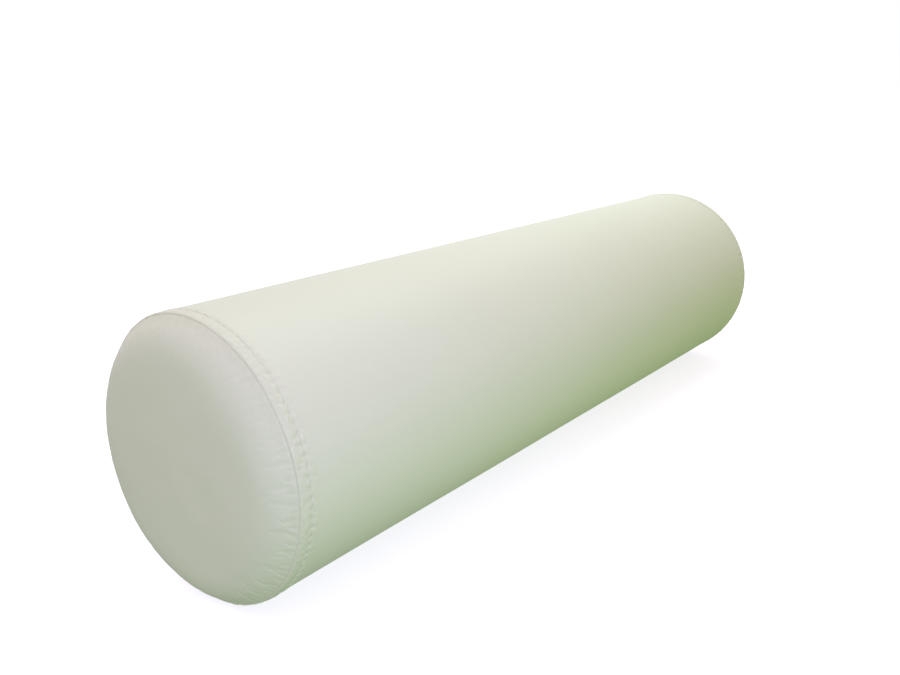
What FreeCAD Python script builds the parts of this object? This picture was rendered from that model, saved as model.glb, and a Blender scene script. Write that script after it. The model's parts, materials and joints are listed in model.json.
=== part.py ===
import FreeCAD, Part
import math
import os

import Sketcher
from FreeCAD import Placement, Rotation, Vector

# A round massage bolster: a foam roll with a soft wadding wrap, inside a sewn vinyl cover.
# The cover is one sleeve panel and two end discs. Each disc is seamed into the sleeve, and a row of
# topstitching behind the seam holds the turned edges flat. A zip along the back closes the cover.
#
# Frame: X along the roll, from the front end (-X) to the rear end (+X). +Z is up, and the origin is
# the middle of the resting flat that the roll's weight presses into its underside.
# Every sub-part is modelled about the roll's own axis and lifted onto the floor by its Placement.
# The zip's parts are modelled with the zip on top and turned to its place round the roll.

SIZES = {
    # the whole roll
    "roller_diameter": 180.0,
    "seam_span": 646.0,  # from one end seam to the other
    "flat_depth": 1.0,  # how far the underside is pressed in where it rests
    # the cover's vinyl, and its turned edges
    "vinyl": 1.0,
    "hem_width": 11.0,
    "fold_radius": 0.9,
    # the end discs: a rounded shoulder that runs into a shallow dome
    "shoulder_radius": 28.0,
    "seam_slope": 60.0,  # degrees from the disc's plane, where the disc leaves the seam
    "rim_slope": 3.0,  # degrees, where the shoulder meets the dome
    # sewing
    "thread": 0.8,
    "seam_thread": 0.6,
    "stitch_pitch": 6.0,
    "stitch_gap": 1.1,
    "topstitch_setback": 8.0,  # from the end seam
    "groove_depth": 0.9,
    "groove_tool": 4.0,
    # the stuffing, each gap measured in from the cover's inner face
    "liner_gap": 0.8,
    "liner_inner_gap": 1.2,
    "liner_mouth": 60.0,
    "wadding_gap": 1.3,
    "core_radius": 79.5,
    "core_length": 632.0,
    "core_edge": 6.0,
    "play": 0.1,
    # the zip
    "zip_rise": 16.0,  # degrees above the horizontal, at the back
    "window_length": 536.0,
    "window_width": 14.0,
    "window_hem": 11.0,
    "slit": 0.2,
    "zip_bed": 84.5,  # from the roll's axis to the flat that the stuffing has under the zip
    "chain_radius": 87.55,
    "tape": 0.6,
    "tape_inner": 1.3,
    "tape_outer": 16.0,
    "tape_length": 580.0,
    "tooth_pitch": 3.2,
    "tooth_count": 160.0,
    "tooth_length": 1.5,
    "tooth_reach": 0.9,  # past the chain's middle
    "tooth_width": 2.6,
    "tooth_half_height": 1.2,
    "tooth_slot": 0.45,
    "zip_row": 10.5,  # from the chain's middle to each row of topstitching
    # the slider
    "slider_place": 254.0,
    "wing": 1.2,
    "wing_top": 90.2,
    "wing_bottom": 84.9,
    "nose_radius": 4.8,
    "nose_place": 1.2,
    "tail_radius": 3.7,
    "tail_place": -2.2,
    "channel": 5.5,
    "nose_channel": 7.6,
    "post_radius": 1.0,
    "post_place": 3.9,
    "crown_length": 8.4,
    "crown_height": 2.6,
    "crown_width": 3.0,
    "crown_strip": 0.8,
    "pull_length": 26.0,
    "pull_width": 8.0,
    "pull_thickness": 1.2,
    "pull_pin": 1.3,
    "pull_axis": 91.2,
    "loop_width": 4.2,
    "loop_length": 6.5,
}

doc = FreeCAD.newDocument("bolster")
sheet = doc.addObject("Spreadsheet::Sheet", "Sizes")
for row, (alias, number) in enumerate(SIZES.items(), start=1):
    sheet.set(f"A{row}", alias)
    sheet.set(f"B{row}", str(number))
    sheet.setAlias(f"B{row}", alias)
doc.recompute()

subparts = []

# Expressions that several sub-parts share. S is short for the sheet's name in an expression.
ROLLER_RADIUS = "(Sizes.roller_diameter / 2)"
SLEEVE_INNER = "(Sizes.roller_diameter / 2 - Sizes.vinyl)"
HEM_INNER = "(Sizes.roller_diameter / 2 - 2 * Sizes.vinyl)"
HALF_SPAN = "(Sizes.seam_span / 2)"
SEAM_SIN = "sin(Sizes.seam_slope * 1deg)"
SEAM_COS = "cos(Sizes.seam_slope * 1deg)"
RIM_SIN = "sin(Sizes.rim_slope * 1deg)"
SHOULDER_X = f"({HALF_SPAN} - Sizes.shoulder_radius * {SEAM_COS})"
SHOULDER_Y = f"({HEM_INNER} - Sizes.shoulder_radius * {SEAM_SIN})"
DOME_RADIUS = f"(({SHOULDER_Y} + Sizes.shoulder_radius * {RIM_SIN}) / {RIM_SIN})"
WINDOW_EDGE = "(Sizes.window_width / 2 + Sizes.window_hem)"


def value(expression):
    """The number that an expression on the sheet gives."""
    result = sheet.evalExpression(str(expression))
    return float(getattr(result, "Value", result))


AXIS_HEIGHT = value("Sizes.roller_diameter / 2 - Sizes.flat_depth")
ON_FLOOR = Placement(Vector(0, 0, AXIS_HEIGHT), Rotation())
ZIP_TURN = Rotation(Vector(1, 0, 0), value("Sizes.zip_rise") - 90)
AT_ZIP = Placement(Vector(0, 0, AXIS_HEIGHT), ZIP_TURN)


# ---- sketches -------------------------------------------------------------------------------------


def bind(owner, constraint, expression):
    """Drives one of a sketch's constraints from the sheet."""
    owner.setExpression(f"Constraints[{constraint}]", expression)


def fix_point(sketch, line, end, x, y):
    point = (value(x), value(y))
    across = sketch.addConstraint(Sketcher.Constraint("DistanceX", line, end, point[0]))
    bind(sketch, across, str(x))
    up = sketch.addConstraint(Sketcher.Constraint("DistanceY", line, end, point[1]))
    bind(sketch, up, str(y))


def set_radius(sketch, curve, expression):
    number = sketch.addConstraint(Sketcher.Constraint("Radius", curve, value(expression)))
    bind(sketch, number, expression)


def join(sketch, first, first_end, second, second_end):
    sketch.addConstraint(Sketcher.Constraint("Coincident", first, first_end, second, second_end))


def polygon(sketch, corners):
    """Straight lines through the corners, each a pair of expressions, closed to the first."""
    points = [Vector(value(x), value(y), 0) for x, y in corners]
    base = sketch.GeometryCount
    count = len(points)
    for i in range(count):
        sketch.addGeometry(Part.LineSegment(points[i], points[(i + 1) % count]), False)
    for i in range(count):
        join(sketch, base + i, 2, base + (i + 1) % count, 1)
    for i, (x, y) in enumerate(corners):
        fix_point(sketch, base + i, 1, x, y)


def rectangle(sketch, left, right, low, high):
    polygon(sketch, [(left, low), (right, low), (right, high), (left, high)])


def circle(sketch, x, y, radius):
    centre = Vector(value(x), value(y), 0)
    disc = sketch.addGeometry(Part.Circle(centre, Vector(0, 0, 1), value(radius)), False)
    fix_point(sketch, disc, 3, x, y)
    set_radius(sketch, disc, radius)


def arc(sketch, centre, radius, start, end):
    whole = Part.Circle(Vector(centre[0], centre[1], 0), Vector(0, 0, 1), radius)
    return sketch.addGeometry(Part.ArcOfCircle(whole, start, end), False)


def flattened_circle(sketch, radius):
    """A circle about the origin whose underside is cut off flat, as every layer of the roll is."""
    r = value(radius)
    drop = r - value("Sizes.flat_depth")
    half = math.sqrt(r * r - drop * drop)
    dip = math.asin(drop / r)
    rim = arc(sketch, (0, 0), r, -dip, math.pi + dip)
    chord = sketch.addGeometry(Part.LineSegment(Vector(-half, -drop, 0), Vector(half, -drop, 0)), False)
    join(sketch, rim, 3, -1, 1)
    join(sketch, rim, 2, chord, 1)
    join(sketch, chord, 2, rim, 1)
    sketch.addConstraint(Sketcher.Constraint("Horizontal", chord))
    set_radius(sketch, rim, radius)
    level = sketch.addConstraint(Sketcher.Constraint("DistanceY", chord, 1, -drop))
    bind(sketch, level, f"-({radius} - Sizes.flat_depth)")


def curved_strip(sketch, inner, outer, left, right):
    """A strip that follows the roll's curve across its top, between two upright sides."""
    radii = [value(outer), value(inner)]
    sides = [value(left), value(right)]
    arcs = [arc(sketch, (0, 0), r, math.acos(sides[1] / r), math.acos(sides[0] / r)) for r in radii]
    ends = [[Vector(x, math.sqrt(r * r - x * x), 0) for r in radii] for x in sides]
    left_side = sketch.addGeometry(Part.LineSegment(ends[0][0], ends[0][1]), False)
    right_side = sketch.addGeometry(Part.LineSegment(ends[1][0], ends[1][1]), False)
    for number, (curve, radius) in enumerate(zip(arcs, (outer, inner)), start=1):
        join(sketch, curve, 3, -1, 1)
        set_radius(sketch, curve, radius)
        join(sketch, curve, 2, left_side, number)
        join(sketch, curve, 1, right_side, number)
    for side, place in ((left_side, left), (right_side, right)):
        sketch.addConstraint(Sketcher.Constraint("Vertical", side))
        number = sketch.addConstraint(Sketcher.Constraint("DistanceX", side, 1, value(place)))
        bind(sketch, number, place)


def egg(sketch):
    """The slider's outline from above: a wide nose and a narrower tail, joined by straight sides."""
    nose, tail = value("Sizes.nose_radius"), value("Sizes.tail_radius")
    nose_x, tail_x = value("Sizes.nose_place"), value("Sizes.tail_place")
    lean = math.acos((nose - tail) / (nose_x - tail_x))
    front = arc(sketch, (nose_x, 0), nose, -math.pi + lean, math.pi - lean)
    back = arc(sketch, (tail_x, 0), tail, math.pi - lean, math.pi + lean)
    sides = []
    for sign in (1, -1):
        direction = Vector(math.cos(math.pi - lean), sign * math.sin(math.pi - lean), 0)
        start = Vector(nose_x, 0, 0) + direction * nose
        end = Vector(tail_x, 0, 0) + direction * tail
        sides.append(sketch.addGeometry(Part.LineSegment(start, end), False))
    for curve, place, radius in (
        (front, "Sizes.nose_place", "Sizes.nose_radius"),
        (back, "Sizes.tail_place", "Sizes.tail_radius"),
    ):
        sketch.addConstraint(Sketcher.Constraint("PointOnObject", curve, 3, -1))
        number = sketch.addConstraint(Sketcher.Constraint("DistanceX", curve, 3, value(place)))
        bind(sketch, number, place)
        set_radius(sketch, curve, radius)
    for curve, curve_end, side, side_end in (
        (front, 2, sides[0], 1),
        (back, 1, sides[0], 2),
        (front, 1, sides[1], 1),
        (back, 2, sides[1], 2),
    ):
        sketch.addConstraint(Sketcher.Constraint("Tangent", curve, curve_end, side, side_end))


# ---- PartDesign helpers -----------------------------------------------------------------------------


def new_body(label, placement=ON_FLOOR, separate=False):
    body = doc.addObject("PartDesign::Body", label)
    body.Label = label
    body.AllowCompound = separate
    body.Placement = placement
    return body


def new_sketch(body, name, plane, lift="0", turn=0.0):
    """A sketch on one of the body's origin planes, lifted off it and turned about its own x."""
    sketch = body.newObject("Sketcher::SketchObject", name)
    support = [o for o in body.Origin.OriginFeatures if o.Role == plane][0]
    sketch.AttachmentSupport = [(support, "")]
    sketch.MapMode = "FlatFace"
    sketch.AttachmentOffset = Placement(Vector(0, 0, value(lift)), Rotation(Vector(1, 0, 0), turn))
    if lift != "0":
        sketch.setExpression("AttachmentOffset.Base.z", lift)
    return sketch


def pad(body, name, sketch, length, both_ways=False):
    feature = body.newObject("PartDesign::Pad", name)
    feature.Profile = sketch
    feature.SideType = "Symmetric" if both_ways else "One side"
    feature.setExpression("Length", length)
    body.Tip = feature
    doc.recompute()
    return feature


def pocket(body, name, sketch, length, both_ways=False, outward=False):
    """Cuts a sketch out of the body, and stops the build if the cut removes nothing."""
    before = body.Shape.Volume
    feature = body.newObject("PartDesign::Pocket", name)
    feature.Profile = sketch
    feature.SideType = "Symmetric" if both_ways else "One side"
    feature.Reversed = outward
    feature.setExpression("Length", length)
    body.Tip = feature
    doc.recompute()
    if not body.Shape.Volume < before - 1e-6:
        raise RuntimeError(f"{name} cuts nothing")
    return feature


def fillet(body, name, base, wanted, radius):
    """Rounds the edges of base that the test picks."""
    edges = [f"Edge{i}" for i, edge in enumerate(base.Shape.Edges, start=1) if wanted(edge)]
    feature = body.newObject("PartDesign::Fillet", name)
    feature.Base = (base, edges)
    feature.setExpression("Radius", radius)
    body.Tip = feature
    doc.recompute()
    return feature


def row_of(body, name, feature, sketch, axis, span, count):
    pattern = body.newObject("PartDesign::LinearPattern", name)
    pattern.Originals = [feature]
    pattern.Direction = (sketch, [axis])
    pattern.setExpression("Length", span)
    pattern.setExpression("Occurrences", count)
    body.Tip = pattern
    doc.recompute()
    return pattern


# ---- layers of the roll -----------------------------------------------------------------------------


def block(name, low, high, placement=None):
    """A Part box between two corners, given as expressions, in the roll's own frame."""
    box = doc.addObject("Part::Box", name)
    for side, a, b in zip(("Length", "Width", "Height"), low, high):
        box.setExpression(side, f"({b}) - ({a})")
    corner = Vector(*(value(a) for a in low))
    box.Placement = Placement(corner, Rotation())
    if placement is None:
        for letter, a in zip("xyz", low):
            box.setExpression(f"Placement.Base.{letter}", str(a))
    else:
        box.Placement = placement.multiply(box.Placement)
    return box


def boolean(kind, name, base, tool):
    result = doc.addObject(f"Part::{kind}", name)
    result.Base = base
    result.Tool = tool
    return result


def belled_roll(name, inset):
    """The solid inside an end seam: a roll with a shoulder and a dome at each end, inset all over."""
    sketch = doc.addObject("Sketcher::SketchObject", f"{name}_outline")
    sketch.Placement = Placement(Vector(), Rotation(Vector(1, 0, 0), 90))
    shoulder = value(f"Sizes.shoulder_radius - {inset}")
    dome = value(f"{DOME_RADIUS} - {inset}")
    shoulder_x, shoulder_y = value(SHOULDER_X), value(SHOULDER_Y)
    top = value(f"{HEM_INNER} - {inset}")
    rise = math.asin((top - shoulder_y) / shoulder)
    rim = math.radians(value("Sizes.rim_slope"))
    lean = dome - shoulder
    dome_x = shoulder_x - lean * math.cos(rim)
    start_x = shoulder_x + shoulder * math.cos(rise)
    tip_x = dome_x + dome
    crest = sketch.addGeometry(Part.LineSegment(Vector(-start_x, top, 0), Vector(start_x, top, 0)), False)
    spine = sketch.addGeometry(Part.LineSegment(Vector(tip_x, 0, 0), Vector(-tip_x, 0, 0)), False)
    rear = (
        arc(sketch, (shoulder_x, shoulder_y), shoulder, rim, rise),
        arc(sketch, (dome_x, 0), dome, 0, rim),
    )
    front = (
        arc(sketch, (-shoulder_x, shoulder_y), shoulder, math.pi - rise, math.pi - rim),
        arc(sketch, (-dome_x, 0), dome, math.pi - rim, math.pi),
    )
    for sign, (round_arc, dome_arc), near, far in (("", rear, 2, 1), ("-", front, 1, 2)):
        fix_point(sketch, round_arc, 3, f"{sign}{SHOULDER_X}", SHOULDER_Y)
        set_radius(sketch, round_arc, f"Sizes.shoulder_radius - {inset}")
        sketch.addConstraint(Sketcher.Constraint("Tangent", round_arc, far, dome_arc, near))
        sketch.addConstraint(Sketcher.Constraint("PointOnObject", dome_arc, 3, -1))
        set_radius(sketch, dome_arc, f"{DOME_RADIUS} - {inset}")
        join(sketch, round_arc, near, crest, 2 if sign == "" else 1)
        join(sketch, dome_arc, far, spine, 1 if sign == "" else 2)
    sketch.addConstraint(Sketcher.Constraint("Horizontal", crest))
    level = sketch.addConstraint(Sketcher.Constraint("DistanceY", crest, 1, top))
    bind(sketch, level, f"{HEM_INNER} - {inset}")
    for end in (1, 2):
        sketch.addConstraint(Sketcher.Constraint("PointOnObject", spine, end, -1))
    turned = doc.addObject("Part::Revolution", f"{name}_turned")
    turned.Source = sketch
    turned.Axis = Vector(1, 0, 0)
    turned.Angle = 360
    turned.Solid = True
    floor = f"-({HEM_INNER} - {inset} - Sizes.flat_depth)"
    reach = "(Sizes.seam_span / 2 + Sizes.shoulder_radius)"
    below = block(
        f"{name}_below",
        (f"-{reach}", f"-{ROLLER_RADIUS}", f"-{ROLLER_RADIUS}"),
        (reach, ROLLER_RADIUS, floor),
    )
    return boolean("Cut", f"{name}_form", turned, below)


def stuffing_form(name, gap):
    """What fills the cover, at a gap from its inner face: a barrel between the hems, the belled roll
    that reaches into both ends, and a flat bed under the zip."""
    barrel_radius = f"({SLEEVE_INNER} - Sizes.{gap})"
    barrel = new_body(f"{name}_barrel", Placement())
    profile = new_sketch(barrel, f"{name}_barrel_profile", "YZ_Plane")
    flattened_circle(profile, barrel_radius)
    between_hems = f"Sizes.seam_span - 2 * Sizes.hem_width - 2 * Sizes.{gap}"
    pad(barrel, f"{name}_barrel_pad", profile, between_hems, both_ways=True)
    bell = belled_roll(f"{name}_bell", f"(Sizes.vinyl + Sizes.{gap})")
    whole = boolean("Fuse", f"{name}_whole", barrel, bell)
    half_bed = "(Sizes.seam_span / 2 - Sizes.hem_width)"
    bed = block(
        f"{name}_bed",
        (f"-{half_bed}", f"-{WINDOW_EDGE} - 3", f"Sizes.zip_bed - Sizes.{gap}"),
        (half_bed, f"{WINDOW_EDGE} + 3", ROLLER_RADIUS),
        Placement(Vector(), ZIP_TURN),
    )
    return boolean("Cut", f"{name}_stuffing", whole, bed)


def finish(feature, label, placement=ON_FLOOR):
    """Labels a sub-part and puts it in its place."""
    feature.Label = label
    feature.Placement = placement
    subparts.append(feature)
    return feature


# ---- the cover --------------------------------------------------------------------------------------


def make_sleeve():
    """One rectangle of vinyl rolled into a tube. Its ends and its two long edges are turned under, so
    it is two layers thick there, and the long edges stand apart where the zip is."""
    body = new_body("sleeve_panel")
    outside = new_sketch(body, "sleeve_outside", "YZ_Plane")
    flattened_circle(outside, ROLLER_RADIUS)
    tube = pad(body, "sleeve_tube", outside, "Sizes.seam_span", both_ways=True)
    fillet(
        body,
        "sleeve_folds",
        tube,
        lambda edge: edge.BoundBox.XLength < 0.01,
        "Sizes.fold_radius",
    )
    hem = new_sketch(body, "sleeve_hem_bore", "YZ_Plane")
    flattened_circle(hem, HEM_INNER)
    pocket(body, "sleeve_hem", hem, "Sizes.seam_span + 2", both_ways=True)
    middle = new_sketch(body, "sleeve_bore", "YZ_Plane")
    flattened_circle(middle, SLEEVE_INNER)
    pocket(body, "sleeve_single_layer", middle, "Sizes.seam_span - 2 * Sizes.hem_width", both_ways=True)
    strip = new_sketch(body, "zip_hem_strip", "YZ_Plane")
    strip.AttachmentOffset = Placement(Vector(), Rotation(Vector(0, 0, 1), value("Sizes.zip_rise") - 90))
    curved_strip(strip, HEM_INNER, f"{ROLLER_RADIUS} - Sizes.vinyl / 2", f"-{WINDOW_EDGE}", WINDOW_EDGE)
    pad(body, "zip_hem", strip, "Sizes.seam_span - Sizes.hem_width", both_ways=True)
    turn = value("Sizes.zip_rise") - 90
    window = new_sketch(body, "zip_window_outline", "XY_Plane", turn=turn)
    half_width, half_length = "Sizes.window_width / 2", "Sizes.window_length / 2"
    rectangle(window, f"-{half_length}", half_length, f"-{half_width}", half_width)
    pocket(body, "zip_window", window, "Sizes.roller_diameter", outward=True)
    slit = new_sketch(body, "side_seam_outline", "XY_Plane", turn=turn)
    rectangle(slit, f"-{HALF_SPAN} - 1", f"{HALF_SPAN} + 1", "-Sizes.slit / 2", "Sizes.slit / 2")
    pocket(body, "side_seam", slit, "Sizes.roller_diameter", outward=True)
    before = body.Shape.Volume
    rings = new_sketch(body, "topstitch_groove_profile", "XZ_Plane")
    groove_y = f"{ROLLER_RADIUS} - Sizes.groove_depth + Sizes.groove_tool"
    for sign in ("-", ""):
        circle(rings, f"{sign}({HALF_SPAN} - Sizes.topstitch_setback)", groove_y, "Sizes.groove_tool")
    groove = body.newObject("PartDesign::Groove", "topstitch_grooves")
    groove.Profile = rings
    groove.ReferenceAxis = (rings, ["H_Axis"])
    groove.Angle = 360
    body.Tip = groove
    doc.recompute()
    if not body.Shape.Volume < before:
        raise RuntimeError("the topstitch grooves cut nothing")
    finish(body, "sleeve_panel")


def make_end_panels():
    """The two discs. Each one's edge is turned back under the sleeve's hem, as wide as the hem."""
    outside = belled_roll("panel_outside", "0")
    inside = belled_roll("panel_inside", "Sizes.vinyl")
    skin = boolean("Cut", "panel_skin", outside, inside)
    reach = "(Sizes.seam_span / 2 + Sizes.shoulder_radius)"
    edge = f"({HALF_SPAN} - Sizes.hem_width)"
    for label, near, far in (
        ("front_end_panel", f"-{reach}", f"-{edge}"),
        ("rear_end_panel", edge, reach),
    ):
        side = block(
            f"{label}_side",
            (near, f"-{ROLLER_RADIUS}", f"-{ROLLER_RADIUS}"),
            (far, ROLLER_RADIUS, ROLLER_RADIUS),
        )
        finish(boolean("Common", label, skin, side), label)


# ---- the stuffing -----------------------------------------------------------------------------------


def make_stuffing():
    """The foam core, the wadding wrapped round it, a wadding disc on each end, and the thin knitted
    liner pulled over all of it, open at each end where it is gathered in."""
    core = new_body("foam_core")
    section = new_sketch(core, "core_section", "YZ_Plane")
    circle(section, "0", "0", "Sizes.core_radius")
    log = pad(core, "core_log", section, "Sizes.core_length", both_ways=True)
    fillet(core, "core_edges", log, lambda edge: edge.BoundBox.XLength < 0.01, "Sizes.core_edge")
    finish(core, "foam_core")

    outer = stuffing_form("liner_outer", "liner_gap")
    inner = stuffing_form("liner_inner", "liner_inner_gap")
    tube = boolean("Cut", "liner_tube", outer, inner)
    mouth = doc.addObject("Part::Cylinder", "liner_mouths")
    mouth.setExpression("Radius", "Sizes.liner_mouth / 2")
    mouth.setExpression("Height", "Sizes.seam_span + 4 * Sizes.shoulder_radius")
    start = -value("Sizes.seam_span / 2 + 2 * Sizes.shoulder_radius")
    mouth.Placement = Placement(Vector(start, 0, 0), Rotation(Vector(0, 1, 0), 90))
    finish(boolean("Cut", "stuffing_liner", tube, mouth), "stuffing_liner")

    wadding = stuffing_form("wadding", "wadding_gap")
    half_core = "(Sizes.core_length / 2)"
    room = doc.addObject("Part::Cylinder", "core_room")
    room.setExpression("Radius", "Sizes.core_radius + Sizes.play")
    room.setExpression("Height", "Sizes.core_length")
    room.Placement = Placement(Vector(-value(half_core), 0, 0), Rotation(Vector(0, 1, 0), 90))
    wide = (f"-{ROLLER_RADIUS}", f"-{ROLLER_RADIUS}"), (ROLLER_RADIUS, ROLLER_RADIUS)
    middle = block("wrap_length", (f"-{half_core}", *wide[0]), (half_core, *wide[1]))
    wrap = boolean("Common", "wrap_solid", wadding, middle)
    finish(boolean("Cut", "wadding_wrap", wrap, room), "wadding_wrap")
    reach = "(Sizes.seam_span / 2 + Sizes.shoulder_radius)"
    start = f"({half_core} + Sizes.play)"
    for label, near, far in (
        ("front_wadding_disc", f"-{reach}", f"-{start}"),
        ("rear_wadding_disc", start, reach),
    ):
        side = block(f"{label}_side", (near, *wide[0]), (far, *wide[1]))
        finish(boolean("Common", label, wadding, side), label)


# ---- sewing -----------------------------------------------------------------------------------------


def stitch(run, leg, thickness):
    """One stitch: a run of thread along X with a leg down at each end, swept with mitred bends."""
    bend = thickness / 2
    half = run / 2
    right = [(half - bend, 0), (half, -bend), (half, -leg)]
    left = [(-x, z) for x, z in reversed(right)]
    path = Part.makePolygon([Vector(x, 0, z) for x, z in left + right])
    ring = Part.Circle(Vector(-half, 0, -leg), Vector(0, 0, 1), thickness / 2)
    mitred = 1
    return path.makePipeShell([Part.Wire([ring.toShape()])], True, False, mitred)


def laid(shape, place, along, up):
    """A copy of a stitch, with its run along one direction and its legs away from another."""
    copy = shape.copy()
    copy.Placement = Placement(place, Rotation(along, up.cross(along), up, "XZY"))
    return copy


def sewn(label, stitches, placement=ON_FLOOR):
    feature = doc.addObject("Part::Feature", label)
    feature.Shape = Part.makeCompound(stitches)
    finish(feature, label, placement)


def ring_of_stitches(label, x, radius, one, outward):
    """Stitches round the roll. Where the layer they lie on is pressed flat, they lie flat with it."""
    count = round(math.tau * radius / value("Sizes.stitch_pitch"))
    floor = value("Sizes.flat_depth") - radius
    stitches = []
    for i in range(count):
        angle = math.tau * (i + 0.5) / count
        up = Vector(0, math.cos(angle), math.sin(angle))
        place = up * radius
        if place.z < floor:
            place.z = floor
            up = Vector(0, 0, -1)
        place.x = x
        along = Vector(1, 0, 0).cross(up)
        stitches.append(laid(one, place, along, up if outward else -up))
    sewn(label, stitches)


def make_end_sewing():
    """At each end, the seam that joins disc to sleeve, which only shows inside, and the topstitching
    that holds the turned edges."""
    run = value("Sizes.stitch_pitch - Sizes.stitch_gap")
    thread, fine = value("Sizes.thread"), value("Sizes.seam_thread")
    hem_inner = value(HEM_INNER)
    panel_inner = hem_inner - value("Sizes.vinyl")
    top_radius = value(f"{ROLLER_RADIUS} - Sizes.groove_depth + Sizes.thread / 2")
    seam_radius = panel_inner - fine / 2
    topstitch = stitch(run, top_radius - panel_inner, thread)
    seam_stitch = stitch(run, hem_inner + fine - seam_radius, fine)
    half_span = value(HALF_SPAN)
    setback = value("Sizes.topstitch_setback")
    inside_fold = 1.2
    for end, side in (("front", -1), ("rear", 1)):
        row_x = side * (half_span - setback)
        ring_of_stitches(f"{end}_topstitch", row_x, top_radius, topstitch, outward=True)
        seam_x = side * (half_span - inside_fold)
        ring_of_stitches(f"{end}_seam_thread", seam_x, seam_radius, seam_stitch, outward=False)


def row_of_stitches(one, start, end, y, radius, outward=True):
    """Stitches along the roll, at a distance y from the zip's middle."""
    count = round((end - start) / value("Sizes.stitch_pitch"))
    step = (end - start) / count
    up = Vector(0, y, math.sqrt(radius * radius - y * y)).normalize()
    along = Vector(1, 0, 0)
    stitches = []
    for i in range(count):
        place = up * radius + along * (start + (i + 0.5) * step)
        stitches.append(laid(one, place, along, up if outward else -up))
    return stitches


def make_zip_sewing():
    """A row of topstitching each side of the zip that runs on along the side seam, the side seam's own
    thread past each end of the window, and a bar of close stitching across each end."""
    run = value("Sizes.stitch_pitch - Sizes.stitch_gap")
    half_row = value(f"{HALF_SPAN} - Sizes.hem_width - 3")
    thread, fine = value("Sizes.thread"), value("Sizes.seam_thread")
    surface = value(ROLLER_RADIUS) - thread / 8
    under_tape = value("Sizes.chain_radius - Sizes.tape")
    one = stitch(run, surface - under_tape, thread)
    row_y = value("Sizes.zip_row")
    for label, y in (("zip_topstitch_upper", -row_y), ("zip_topstitch_lower", row_y)):
        sewn(label, row_of_stitches(one, -half_row, half_row, y, surface), AT_ZIP)
    seam = stitch(run, 1.5 * fine, fine)
    half_window = value("Sizes.window_length / 2")
    seam_radius = value(HEM_INNER) - fine / 2
    last = value(f"{HALF_SPAN} - Sizes.hem_width - 1")
    front = row_of_stitches(seam, -last, -half_window - 2, 0.0, seam_radius, outward=False)
    rear = row_of_stitches(seam, half_window + 2, last, 0.0, seam_radius, outward=False)
    sewn("side_seam_thread", front + rear, AT_ZIP)
    bars = new_body("zip_bartacks", AT_ZIP, separate=True)
    section = new_sketch(bars, "bartack_section", "YZ_Plane", lift="-(Sizes.window_length / 2 + 2.4)")
    edge = "(Sizes.window_width / 2 + 1)"
    curved_strip(section, f"{ROLLER_RADIUS} - 0.3", f"{ROLLER_RADIUS} + 0.5", f"-{edge}", edge)
    bar = pad(bars, "bartack", section, "1.8")
    row_of(bars, "both_bartacks", bar, section, "N_Axis", "Sizes.window_length + 3", "2")
    finish(bars, "zip_bartacks", AT_ZIP)


# ---- the zip ----------------------------------------------------------------------------------------


def make_tapes():
    """Two woven tapes under the window's hems, each curved with the roll."""
    inner = "Sizes.chain_radius - Sizes.tape / 2"
    outer = "Sizes.chain_radius + Sizes.tape / 2"
    for label, left, right in (
        ("zip_tape_upper", "-Sizes.tape_outer", "-Sizes.tape_inner"),
        ("zip_tape_lower", "Sizes.tape_inner", "Sizes.tape_outer"),
    ):
        tape = new_body(label, AT_ZIP)
        section = new_sketch(tape, f"{label}_section", "YZ_Plane")
        curved_strip(section, inner, outer, left, right)
        pad(tape, f"{label}_length", section, "Sizes.tape_length", both_ways=True)
        finish(tape, label, AT_ZIP)


def clasp(sketch, side, reach, width):
    """A tooth or stop from the end: a block past the tape's edge and a jaw above and below the tape."""
    middle, half, slot = "Sizes.chain_radius", "Sizes.tooth_half_height", "Sizes.tooth_slot"
    throat = "(Sizes.tape_inner - 0.15)"
    outline = [
        (f"-{reach}", f"{middle} - {half}"),
        (width, f"{middle} - {half}"),
        (width, f"{middle} - {slot}"),
        (throat, f"{middle} - {slot}"),
        (throat, f"{middle} + {slot}"),
        (width, f"{middle} + {slot}"),
        (width, f"{middle} + {half}"),
        (f"-{reach}", f"{middle} + {half}"),
    ]
    polygon(sketch, [(f"{side} * ({x})", y) for x, y in outline])


def make_chain():
    """Two rows of moulded teeth, half a pitch apart, so that each tooth fills the other row's gap."""
    span = "(Sizes.tooth_pitch * (Sizes.tooth_count - 1))"
    chain_end = "(Sizes.slider_place + 2)"
    rows = (("zip_teeth_upper", "-1", "0"), ("zip_teeth_lower", "1", "Sizes.tooth_pitch / 2"))
    for label, side, shift in rows:
        teeth = new_body(label, AT_ZIP, separate=True)
        first = f"{chain_end} - {span} - Sizes.tooth_pitch + {shift}"
        section = new_sketch(teeth, f"{label}_section", "YZ_Plane", lift=first)
        clasp(section, side, "Sizes.tooth_reach", "Sizes.tooth_width")
        tooth = pad(teeth, f"{label}_tooth", section, "Sizes.tooth_length")
        row_of(teeth, f"{label}_row", tooth, section, "N_Axis", span, "Sizes.tooth_count")
        finish(teeth, label, AT_ZIP)


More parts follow.
